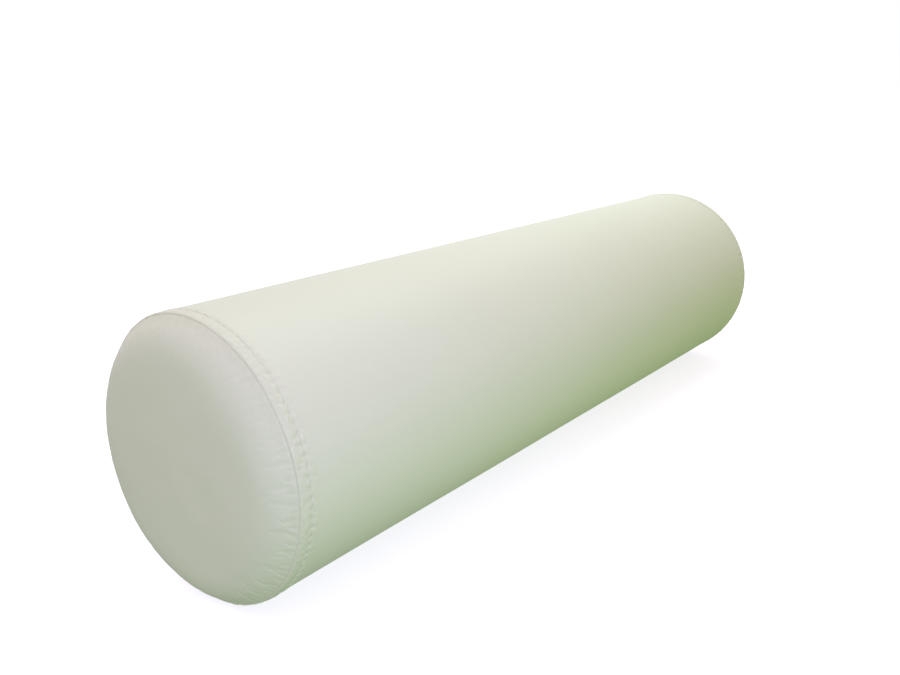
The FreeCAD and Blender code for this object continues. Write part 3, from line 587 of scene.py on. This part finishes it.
def sleeve_wear_and_shade(x, angle, across):
    """How near the sewing points of the sleeve are, as the sewing attribute keeps it for the vinyl's darker
    tone: partly wear and dirt, partly painted shade of the seam groove and needle holes.
    """
    inward = HALF_SPAN - np.abs(x)
    beside_zip = 0.7 * bump(np.abs(across) - ZIP_ROW, 3 * MM)
    beside_seam = bump(inward - SETBACK / 2, 6 * MM)
    # The needle holes get the darkest tone: partly dirt, partly painted shade.
    in_hole = bump(np.hypot(nearest_hole(angle)[0], inward - SETBACK), 0.7 * MM)
    return 0.5 * np.maximum(beside_seam, beside_zip) + 0.5 * in_hole


def make_sleeve():
    """The sleeve: a fine grid with the zip's window left out, its ends and the window folded under."""
    x_of, radius_of = sleeve_rows()
    angle_of = columns_near_seam()
    across_of = RADIUS * wrap(angle_of)
    every = cells(2 * HALF_ROWS, COLUMNS, LARGEST_CELL, sleeve_cell)
    runs = outlines([cell for cell in every if outside_window(cell)], COLUMNS)
    points, number = numbered(runs)
    row, column = np.array(points).T
    x, angle = x_of[row], angle_of[column]
    places = [sleeve_point(x, angle, radius_of[row])]
    faces = [[number[p] for p in reversed(run)] for run in runs]
    for end in (-1, 1):
        tuck_end(end, places, faces, number, angle_of)
    fold_window(places, faces, number, x_of, across_of)
    places = np.concatenate(places)
    # The folded and tucked-under vinyl takes the tone beside the sewing: partly wear, partly painted shade in
    # the folds.
    shares = np.full(len(places), 0.5)
    shares[: len(points)] = sleeve_wear_and_shade(x, angle, across_of[column])
    made = piece("vinyl_sleeve", places, faces)
    note_sewing_wear_and_shade(made, shares)
    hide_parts("sleeve_panel")
    return made


# ---- the end discs ------------------------------------------------------------------------------------

DISC_ROW_COUNT = 128
TUCKED = 4 * MM
TUCKED_ROWS = 4
HUB = 5 * MM  # the length that one fan of faces covers, at the disc's middle


def disc_point(end, along, angle):
    """Where an end disc's surface lies, by the distance from its seam."""
    out, radius = disc_outline(along)
    moved = gathered(end, np.maximum(along, 0), angle)
    middle = step(along, 14 * MM, 6 * MM)
    slack = waves(radius, angle, 20 + end, 0.25, 0.45 * MM) * middle * np.clip(radius / (30 * MM), 0, 1)
    swell = 0.75 * MM * np.where(along < 0, bump(along, 0.6 * MM), bump(along, 3 * MM))
    out = out + moved[..., 0] + slack
    radius = radius + moved[..., 1] + swell
    return press(from_roll(end * (HALF_SPAN + out), angle, radius), 2 * MM * bump(along - 2 * MM, 6 * MM))


def disc_along(row, last):
    """The distance from the seam of a row of the disc's grid, whose last row lies at a given distance."""
    return np.interp(row, [0, TUCKED_ROWS, DISC_ROW_COUNT], [-TUCKED, 0, last])


def disc_cell(row, column):
    """The largest cell of the disc's grid that keeps its detail there, whatever the column."""
    along = disc_along(row, DISC_LENGTH)
    if along < 16 * MM:
        return 1, 1
    if along < 45 * MM:
        return 2, 2
    if along < 70 * MM:
        return 4, 8
    return 4, 16


def make_disc(name, end, node):
    """An end disc: a fine grid from under the sleeve's hem to the hub, closed by a fan of faces."""
    along_of = disc_along(np.arange(DISC_ROW_COUNT + 1), DISC_LENGTH - HUB)
    angle_of = np.arange(COLUMNS) * TURN / COLUMNS
    runs = outlines(cells(DISC_ROW_COUNT, COLUMNS, (16, 16), disc_cell), COLUMNS)
    points, number = numbered(runs)
    row, column = np.array(points).T
    places = disc_point(end, along_of[row], angle_of[column])
    faces = [[number[p] for p in run] for run in runs]
    hub = [number[(DISC_ROW_COUNT, j)] for j in range(COLUMNS) if (DISC_ROW_COUNT, j) in number]
    places = np.concatenate([places, places[hub].mean(axis=0, keepdims=True)])
    for n in range(len(hub)):
        faces.append([hub[n], hub[(n + 1) % len(hub)], len(points)])
    if end > 0:
        faces = [face[::-1] for face in faces]
    made = piece(name, places, faces)
    # The disc's rim by the seam takes the darker tone: partly wear, partly painted shade of the seam groove.
    note_sewing_wear_and_shade(made, np.append(0.5 * bump(along_of[row], 5 * MM), 0))
    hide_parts(node)
    return made


# ---- thread -------------------------------------------------------------------------------------------


def tubes(paths, radius, sides=6):
    """Round strands along paths of one length, as places and faces. paths is (strands, points, 3)."""
    ahead = np.gradient(paths, axis=1)
    ahead /= np.linalg.norm(ahead, axis=-1, keepdims=True)
    aside = np.cross(ahead, [0.31, 0.52, 0.79])
    aside /= np.linalg.norm(aside, axis=-1, keepdims=True)
    above = np.cross(ahead, aside)
    turn = np.arange(sides) * TURN / sides
    ring = aside[:, :, None] * np.cos(turn)[:, None] + above[:, :, None] * np.sin(turn)[:, None]
    places = (paths[:, :, None] + radius * ring).reshape(-1, 3)
    strands, length = paths.shape[:2]
    faces = []
    for strand in range(strands):
        first = strand * length * sides
        last = first + (length - 1) * sides
        for ring_start in range(first, last, sides):
            faces += band(ring_start, sides)
        faces.append(tuple(reversed(range(first, first + sides))))
        faces.append(tuple(range(last, last + sides)))
    return places, faces


def twisted(paths, normals, turns, thickness):
    """Two plies wound round each path."""
    length = paths.shape[1]
    ahead = np.gradient(paths, axis=1)
    ahead /= np.linalg.norm(ahead, axis=-1, keepdims=True)
    aside = np.cross(ahead, normals)
    aside /= np.linalg.norm(aside, axis=-1, keepdims=True)
    above = np.cross(aside, ahead)
    lay = np.linspace(0, turns * TURN, length)[None, :, None]
    plies = []
    for phase in (0, math.pi):
        plies.append(paths + thickness * 0.5 * (np.cos(lay + phase) * aside + np.sin(lay + phase) * above))
    return np.concatenate(plies)


# Places along one stitch, closer together where it dives into its holes.
HALF_STITCH = np.array([0, 0.02, 0.05, 0.09, 0.14, 0.21, 0.29, 0.38, 0.46])
STITCH_PLACES = np.concatenate([HALF_STITCH, 1 - HALF_STITCH[::-1]])


def sewn(name, surface, normals, node):
    """Thread laid over a run of surface places for each stitch, diving into the hole at each end."""
    dive = bump(STITCH_PLACES, 0.055) + bump(1 - STITCH_PLACES, 0.055)
    height = THREAD * 0.25 - 1.5 * MM * dive
    paths = surface + normals * height[None, :, None]
    paths = press(paths, 1.1 * THREAD)
    places, faces = tubes(twisted(paths, normals, 2.5, THREAD), THREAD * 0.56)
    made = piece(name, places, faces)
    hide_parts(node)
    return made


def make_ring_thread(name, end, node):
    """The topstitching round one end of the sleeve."""
    start = (np.arange(STITCHES_ROUND) + 0.5) * TURN / STITCHES_ROUND
    angle = start[:, None] + STITCH_PLACES * TURN / STITCHES_ROUND
    lean = 0.16 * MM * (1 - 2 * STITCH_PLACES) + rng.normal(0, 0.05 * MM, (STITCHES_ROUND, 1))
    x = end * (HALF_SPAN - SETBACK + lean)
    surface = sleeve_point(x, angle)
    return sewn(name, surface, outwards(angle), node)


def make_zip_row_thread(name, side, node):
    """The topstitching along one side of the zip."""
    count = round(2 * ZIP_ROW_END / STITCH)
    x = -ZIP_ROW_END + (np.arange(count)[:, None] + STITCH_PLACES) * STITCH
    lean = 0.14 * MM * (1 - 2 * STITCH_PLACES) + rng.normal(0, 0.05 * MM, (count, 1))
    angle = side * (ZIP_ROW + lean) / RADIUS
    surface = sleeve_point(x, angle)
    return sewn(name, surface, outwards(angle), node)


def make_bartacks(name, node):
    """A bar of close zigzag stitches across each end of the zip's window."""
    turns = 34
    quarter = np.arange(4 * turns + 1)
    across = np.linspace(-BARTACK_HALF, BARTACK_HALF, len(quarter))
    swing = 0.85 * MM * np.sin(quarter * TURN / 4)
    lifted = np.abs(np.cos(quarter * TURN / 4))
    paths = []
    for end in (-1, 1):
        x = end * BARTACK_AT + swing
        surface = sleeve_point(x, across / RADIUS)
        paths.append(surface + OUT * (0.02 + 0.1 * lifted)[:, None] * MM)
    places, faces = tubes(np.array(paths), 0.17 * MM)
    made = piece(name, places, faces)
    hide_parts(node)
    return made


# ---- the zip ------------------------------------------------------------------------------------------

CHAIN = 87.55 * MM  # from the roll's axis to the middle of the teeth
TOOTH_PITCH = 3.2 * MM
TOOTH_COUNT = 160
CHAIN_END = 256 * MM
# A tooth from above: how far across the zip, and half its length there.
TOOTH_OUTLINE = MM * np.array(
    [
        (-0.88, 0.3),
        (-0.72, 0.54),
        (-0.4, 0.7),
        (0.0, 0.72),
        (0.35, 0.6),
        (0.8, 0.6),
        (1.15, 0.72),
        (2.3, 0.72),
        (2.55, 0.5),
    ]
)
# Its bevelled sides: height over the chain's middle, and how far the outline is drawn in.
TOOTH_LEVELS = MM * np.array([(-1.18, 0.26), (-0.92, 0.0), (0.92, 0.0), (1.1, 0.08), (1.18, 0.26)])


def make_teeth(name, side, shift, node):
    """One row of moulded teeth with rounded heads."""
    across, half = TOOTH_OUTLINE.T
    outline = np.concatenate([np.stack([half, across], -1), np.stack([-half, across], -1)[::-1]])
    middle = outline.mean(axis=0)
    loops = []
    for height, drawn_in in TOOTH_LEVELS:
        towards = outline - middle
        shrunk = outline - towards / np.linalg.norm(towards, axis=1, keepdims=True) * drawn_in
        loops.append(np.column_stack([shrunk, np.full(len(outline), height)]))
    tooth = np.concatenate(loops)
    size = len(outline)
    faces = [face for level in range(len(loops) - 1) for face in band(level * size, size)]
    faces.append(tuple(reversed(range(size))))
    faces.append(tuple(range(len(tooth) - size, len(tooth))))
    if side > 0:
        faces = [face[::-1] for face in faces]
    first = CHAIN_END - TOOTH_PITCH * TOOTH_COUNT + shift + 0.75 * MM
    x = first + np.arange(TOOTH_COUNT)[:, None] * TOOTH_PITCH + tooth[:, 0]
    places = from_zip(x, side * tooth[:, 1], CHAIN + tooth[:, 2]).reshape(-1, 3)
    every = [tuple(t * len(tooth) + n for n in face) for t in range(TOOTH_COUNT) for face in faces]
    made = piece(name, places, every, smooth=False)
    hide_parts(node)
    return made


def make_tape(name, side, node):
    """One tape: woven ribs along it, and a round bead along the edge that the teeth grip."""
    bead, rib = 0.6 * MM, 0.9 * MM
    bead_at = 1.95 * MM
    across = np.arange(16.0, 2.75, -0.15) * MM
    over = CHAIN + 0.24 * MM + 0.05 * MM * np.cos(TURN * across / rib)
    turn = np.linspace(0.4, TURN - 0.4, 16)
    round_edge = np.stack([bead_at + bead * np.cos(turn), CHAIN + bead * np.sin(turn)], -1)
    under = np.stack([across[::-4], np.full(len(across[::-4]), CHAIN - 0.3 * MM)], -1)
    profile = np.concatenate([np.stack([across, over], -1), round_edge, under])
    x = np.linspace(-290, 290, 146) * MM
    wave = 0.06 * MM * np.sin(x / (23 * MM)) * np.sin(x / (61 * MM) + side)
    places = from_zip(x[:, None], side * profile[:, 0], profile[:, 1] + wave[:, None]).reshape(-1, 3)
    size = len(profile)
    faces = [face for row in range(len(x) - 1) for face in band(row * size, size)]
    faces.append(tuple(reversed(range(size))))
    faces.append(tuple(range(len(places) - size, len(places))))
    if side < 0:
        faces = [face[::-1] for face in faces]
    made = piece(name, places, faces)
    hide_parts(node)
    return made


# ---- materials ----------------------------------------------------------------------------------------


def new_material(name):
    """A material with its nodes, its links and its main shader."""
    made = bpy.data.materials.new(name)
    made.use_nodes = True
    return made, made.node_tree.nodes, made.node_tree.links, made.node_tree.nodes["Principled BSDF"]


def node(nodes, kind, inputs=None, **settings):
    """A shader node, with its settings and plain inputs set."""
    made = nodes.new(kind)
    for name, value in settings.items():
        setattr(made, name, value)
    for name, value in (inputs or {}).items():
        made.inputs[name].default_value = value
    return made


def mix_of(nodes, links, share, first, second):
    """Two colours mixed by a share. Each is a colour or another node's output."""
    mixed = node(nodes, "ShaderNodeMix", data_type="RGBA")
    links.new(share, mixed.inputs[0])
    for colour, socket in ((first, mixed.inputs[6]), (second, mixed.inputs[7])):
        if isinstance(colour, bpy.types.NodeSocket):
            links.new(colour, socket)
        else:
            socket.default_value = (*colour, 1)
    return mixed.outputs[2]


def vinyl_material():
    """Smooth upholstery vinyl: cream, a soft satin sheen, a fine pressed grain, and a slightly warmer, duller
    tone beside the sewing: partly wear and dirt, partly painted shade of the seam groove and needle holes."""
    made, nodes, links, shader = new_material("cream_vinyl")
    place = node(nodes, "ShaderNodeTexCoord").outputs["Object"]
    cloud = node(nodes, "ShaderNodeTexNoise", {"Scale": 7.0, "Detail": 4.0, "Roughness": 0.55})
    links.new(place, cloud.inputs["Vector"])
    tone = mix_of(nodes, links, cloud.outputs["Fac"], (0.84, 0.83, 0.765), (0.80, 0.79, 0.715))
    sewing = node(nodes, "ShaderNodeAttribute", attribute_name="sewing").outputs["Fac"]
    # Two darker tones by the sewing attribute, the first beside the sewing and the second in the needle
    # holes: each partly wear and dirt, partly painted shade of the groove and holes.
    for start, full, wear_and_shade_tone in ((0.0, 1.2, (0.77, 0.75, 0.66)), (0.55, 1.1, (0.56, 0.54, 0.46))):
        wear_and_shade_share = node(nodes, "ShaderNodeMapRange", {"From Min": start, "From Max": full})
        links.new(sewing, wear_and_shade_share.inputs["Value"])
        tone = mix_of(nodes, links, wear_and_shade_share.outputs["Result"], tone, wear_and_shade_tone)
    links.new(tone, shader.inputs["Base Color"])

    pebbles = node(nodes, "ShaderNodeTexVoronoi", {"Scale": 1100.0}, feature="SMOOTH_F1")
    links.new(place, pebbles.inputs["Vector"])
    creases = node(nodes, "ShaderNodeTexNoise", {"Scale": 420.0, "Detail": 5.0, "Roughness": 0.6})
    links.new(place, creases.inputs["Vector"])
    grain = node(nodes, "ShaderNodeMath", operation="ADD")
    links.new(pebbles.outputs["Distance"], grain.inputs[0])
    links.new(creases.outputs["Fac"], grain.inputs[1])
    relief = node(nodes, "ShaderNodeBump", {"Strength": 0.45, "Distance": 0.00016})
    links.new(grain.outputs[0], relief.inputs["Height"])
    links.new(relief.outputs["Normal"], shader.inputs["Normal"])

    rough = node(nodes, "ShaderNodeMapRange", {"To Min": 0.40, "To Max": 0.54})
    links.new(creases.outputs["Fac"], rough.inputs["Value"])
    links.new(rough.outputs["Result"], shader.inputs["Roughness"])
    shader.inputs["Specular IOR Level"].default_value = 0.42
    return made


def fibre_material(name, first, second, scale, rough, depth):
    """Thread, tape, wadding or foam: fibres or cells of a size, in two close tones."""
    made, nodes, links, shader = new_material(name)
    place = node(nodes, "ShaderNodeTexCoord").outputs["Object"]
    fibres = node(nodes, "ShaderNodeTexNoise", {"Scale": scale, "Detail": 6.0, "Roughness": 0.7})
    links.new(place, fibres.inputs["Vector"])
    links.new(mix_of(nodes, links, fibres.outputs["Fac"], first, second), shader.inputs["Base Color"])
    relief = node(nodes, "ShaderNodeBump", {"Strength": 0.5, "Distance": depth})
    links.new(fibres.outputs["Fac"], relief.inputs["Height"])
    links.new(relief.outputs["Normal"], shader.inputs["Normal"])
    spread = node(nodes, "ShaderNodeMapRange", {"To Min": rough - 0.08, "To Max": rough + 0.08})
    links.new(fibres.outputs["Fac"], spread.inputs["Value"])
    links.new(spread.outputs["Result"], shader.inputs["Roughness"])
    return made


def weave_material():
    """Woven polyester tape: fine yarns along it and across it."""
    made, nodes, links, shader = new_material("zip_tape_weave")
    place = node(nodes, "ShaderNodeTexCoord").outputs["Object"]
    turned = node(nodes, "ShaderNodeMapping")
    turned.inputs["Rotation"].default_value = (-ZIP_TURN, 0, 0)
    links.new(place, turned.inputs["Vector"])
    crossed = node(nodes, "ShaderNodeMath", operation="MULTIPLY")
    for yarns, (direction, scale) in zip(crossed.inputs, (("X", 620.0), ("Y", 420.0))):
        settings = {"Scale": scale, "Distortion": 0.6}
        yarn = node(nodes, "ShaderNodeTexWave", settings, bands_direction=direction)
        links.new(turned.outputs["Vector"], yarn.inputs["Vector"])
        links.new(yarn.outputs["Fac"], yarns)
    tone = mix_of(nodes, links, crossed.outputs[0], (0.60, 0.59, 0.53), (0.80, 0.79, 0.73))
    links.new(tone, shader.inputs["Base Color"])
    relief = node(nodes, "ShaderNodeBump", {"Strength": 0.6, "Distance": 0.00015})
    links.new(crossed.outputs[0], relief.inputs["Height"])
    links.new(relief.outputs["Normal"], shader.inputs["Normal"])
    spread = node(nodes, "ShaderNodeMapRange", {"To Min": 0.85, "To Max": 0.62})
    links.new(crossed.outputs[0], spread.inputs["Value"])
    links.new(spread.outputs["Result"], shader.inputs["Roughness"])
    return made


def metal_material():
    """Nickel plate over cast zinc: satin, with fine tumbling scratches."""
    made, nodes, links, shader = new_material("nickel_plate")
    place = node(nodes, "ShaderNodeTexCoord").outputs["Object"]
    scuffs = node(nodes, "ShaderNodeTexNoise", {"Scale": 900.0, "Detail": 7.0, "Roughness": 0.75})
    links.new(place, scuffs.inputs["Vector"])
    tone = mix_of(nodes, links, scuffs.outputs["Fac"], (0.46, 0.46, 0.45), (0.60, 0.60, 0.59))
    links.new(tone, shader.inputs["Base Color"])
    shader.inputs["Metallic"].default_value = 1.0
    rough = node(nodes, "ShaderNodeMapRange", {"To Min": 0.2, "To Max": 0.42})
    links.new(scuffs.outputs["Fac"], rough.inputs["Value"])
    links.new(rough.outputs["Result"], shader.inputs["Roughness"])
    relief = node(nodes, "ShaderNodeBump", {"Strength": 0.15, "Distance": 0.00005})
    links.new(scuffs.outputs["Fac"], relief.inputs["Height"])
    links.new(relief.outputs["Normal"], shader.inputs["Normal"])
    return made


def cover(made, material):
    """Gives a piece its one material."""
    made.data.materials.clear()
    made.data.materials.append(material)


def dress(node_name, material):
    """Puts a material on a CAD node that stays."""
    shown = frame["nodes"][node_name]
    for slot in shown.material_slots:
        slot.material = material


# ---- the making ---------------------------------------------------------------------------------------

VINYL = vinyl_material()
SEWING_THREAD = fibre_material("bonded_thread", (0.88, 0.87, 0.81), (0.78, 0.77, 0.70), 2600.0, 0.55, 0.00006)
FOAM = fibre_material("foam_cells", (0.86, 0.80, 0.58), (0.70, 0.63, 0.42), 700.0, 0.9, 0.0006)
WADDING = fibre_material("wadding_fibres", (0.88, 0.88, 0.87), (0.74, 0.74, 0.73), 260.0, 0.95, 0.0012)
LINER = fibre_material("knitted_liner", (0.82, 0.82, 0.80), (0.68, 0.68, 0.66), 900.0, 0.85, 0.0003)
TAPE = weave_material()
TEETH = fibre_material("zip_teeth_acetal", (0.84, 0.83, 0.77), (0.81, 0.80, 0.74), 300.0, 0.38, 0.00002)
METAL = metal_material()

sleeve = make_sleeve()
front_disc = make_disc("vinyl_front_disc", -1, "front_end_panel")
rear_disc = make_disc("vinyl_rear_disc", 1, "rear_end_panel")
for vinyl_piece in (sleeve, front_disc, rear_disc):
    cover(vinyl_piece, VINYL)
    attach(vinyl_piece, "roller")

threads = [
    make_ring_thread("thread_front_topstitch", -1, "front_topstitch"),
    make_ring_thread("thread_rear_topstitch", 1, "rear_topstitch"),
    make_zip_row_thread("thread_zip_upper", -1, "zip_topstitch_upper"),
    make_zip_row_thread("thread_zip_lower", 1, "zip_topstitch_lower"),
    make_bartacks("thread_bartacks", "zip_bartacks"),
]
for thread in threads:
    cover(thread, SEWING_THREAD)
    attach(thread, "roller")

for side, row in ((-1, "upper"), (1, "lower")):
    tape = make_tape(f"woven_tape_{row}", side, f"zip_tape_{row}")
    cover(tape, TAPE)
    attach(tape, "roller")
    teeth = make_teeth(f"moulded_teeth_{row}", side, (side + 1) / 4 * TOOTH_PITCH, f"zip_teeth_{row}")
    cover(teeth, TEETH)
    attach(teeth, "roller")

for node_name, material in (
    ("foam_core", FOAM),
    ("wadding_wrap", WADDING),
    ("front_wadding_disc", WADDING),
    ("rear_wadding_disc", WADDING),
    ("stuffing_liner", LINER),
    ("front_seam_thread", SEWING_THREAD),
    ("rear_seam_thread", SEWING_THREAD),
    ("side_seam_thread", SEWING_THREAD),
    ("zip_top_stops", METAL),
    ("zip_bottom_stop", METAL),
    ("slider_body", METAL),
    ("slider_crown", METAL),
    ("slider_pull_tab", METAL),
):
    dress(node_name, material)

# ---- floor, light and camera --------------------------------------------------------------------------


def make_floor():
    """A pale floor, so wide that its edge is lost in the pale world behind it."""
    far, corner_count = 30.0, 64
    corners = []
    for number in range(corner_count):
        angle = number * TURN / corner_count
        corners.append((far * math.cos(angle), far * math.sin(angle), 0))
    floor = piece("floor", corners, [tuple(range(corner_count))], smooth=False)
    floor.location.z = -0.1 * MM
    made, _, _, shader = new_material("pale_floor")
    shader.inputs["Base Color"].default_value = (*FLOOR_TONE, 1)
    shader.inputs["Roughness"].default_value = 0.9
    shader.inputs["Specular IOR Level"].default_value = 0.0
    shader.inputs["Emission Color"].default_value = (*FLOOR_GLOW, 1)
    shader.inputs["Emission Strength"].default_value = 1
    floor.data.materials.append(made)
    floor.visible_diffuse = False
    floor.visible_glossy = False
    floor.visible_shadow = False


def share_of(nodes, links, direction, axis, start, full):
    """How far a direction lies along an axis, from 0 at the start to 1 at the full value."""
    ramp = node(nodes, "ShaderNodeMapRange", {"From Min": start, "From Max": full})
    links.new(direction.outputs[axis], ramp.inputs["Value"])
    return ramp.outputs["Result"]


def light_world():
    """Soft light all round: white from above, and dim and green from below, as the coloured top that the
    roll lay on gave back. The view itself sees plain white."""
    world = bpy.data.worlds.new("studio")
    bpy.context.scene.world = world
    world.use_nodes = True
    nodes, links = world.node_tree.nodes, world.node_tree.links
    direction = node(nodes, "ShaderNodeSeparateXYZ")
    links.new(node(nodes, "ShaderNodeTexCoord").outputs["Generated"], direction.inputs[0])
    front = share_of(nodes, links, direction, "Y", 0.3, -0.3)
    back = share_of(nodes, links, direction, "Y", -0.2, 0.6)
    near_end = share_of(nodes, links, direction, "X", 0.3, -0.3)
    above = share_of(nodes, links, direction, "Z", -0.05, 0.0)
    below_far = mix_of(nodes, links, front, BELOW_BACK, BELOW_FRONT)
    below_near = mix_of(nodes, links, front, np.add(BELOW_BACK, BELOW_END), np.add(BELOW_FRONT, BELOW_END))
    below_tone = mix_of(nodes, links, near_end, below_far, below_near)
    above_tone = mix_of(nodes, links, back, ABOVE, np.add(ABOVE, ABOVE_BACK))
    lit = mix_of(nodes, links, above, below_tone, above_tone)
    seen = node(nodes, "ShaderNodeLightPath").outputs["Is Camera Ray"]
    links.new(mix_of(nodes, links, seen, lit, (1, 1, 1)), nodes["Background"].inputs["Color"])


def make_light(name, place, aim, size, power, colour):
    """A round soft lamp, itself unseen by the camera."""
    data = bpy.data.lights.new(name, "AREA")
    data.shape = "DISK"
    data.size = size
    data.energy = power
    data.color = colour
    lamp = bpy.data.objects.new(name, data)
    lamp.location = place
    lamp.rotation_euler = (Vector(aim) - Vector(place)).to_track_quat("-Z", "Y").to_euler()
    lamp.visible_camera = False
    bpy.context.scene.collection.objects.link(lamp)


# Linear colours. Each lamp: its name, place, what it faces, its width, its power in watts and its colour.
FLOOR_TONE = (0.80, 0.86, 0.93)
FLOOR_GLOW = (0.60, 0.53, 0.62)
ABOVE = (0.57, 0.505, 0.415)
ABOVE_BACK = (0.418, 0.458, 0.595)
BELOW_FRONT = (0.159, 0.263, 0.039)
BELOW_BACK = (0.311, 0.314, 0.384)
BELOW_END = (0.069, 0.118, 0.042)
LAMPS = (
    ("lamp_top", (0.3, 0.1, 0.9), (0.1, 0, 0.09), 0.8, 2.5, (0.756, 1.0, 0.796)),
    ("lamp_near", (-0.5, -0.7, 0.3), (-0.25, 0, 0.09), 0.5, 2.6, (0.604, 0.654, 1.0)),
    ("lamp_low", (0.1, -0.6, -0.25), (0, 0, 0.09), 0.6, 0.37, (0.57, 1.0, 0.0)),
)

CAMERA_PLACE = (-0.5928, -0.4017, 0.3059)
CAMERA_AZIMUTH = math.radians(-51.81)
CAMERA_ELEVATION = math.radians(16.98)


def make_camera():
    """The camera, off the front end and a little above the roll."""
    data = bpy.data.cameras.new("camera")
    data.sensor_width = 36
    data.lens = 34.35
    camera = bpy.data.objects.new("camera", data)
    bpy.context.scene.collection.objects.link(camera)
    level = math.cos(CAMERA_ELEVATION)
    back = Vector(
        (
            math.sin(CAMERA_AZIMUTH) * level,
            -math.cos(CAMERA_AZIMUTH) * level,
            math.sin(CAMERA_ELEVATION),
        )
    )
    camera.location = CAMERA_PLACE
    camera.rotation_euler = (-back).to_track_quat("-Z", "Y").to_euler()
    data.clip_start = 0.01
    bpy.context.scene.camera = camera


make_floor()
light_world()
for lamp in LAMPS:
    make_light(*lamp)
make_camera()
bpy.context.scene.view_settings.view_transform = "Standard"
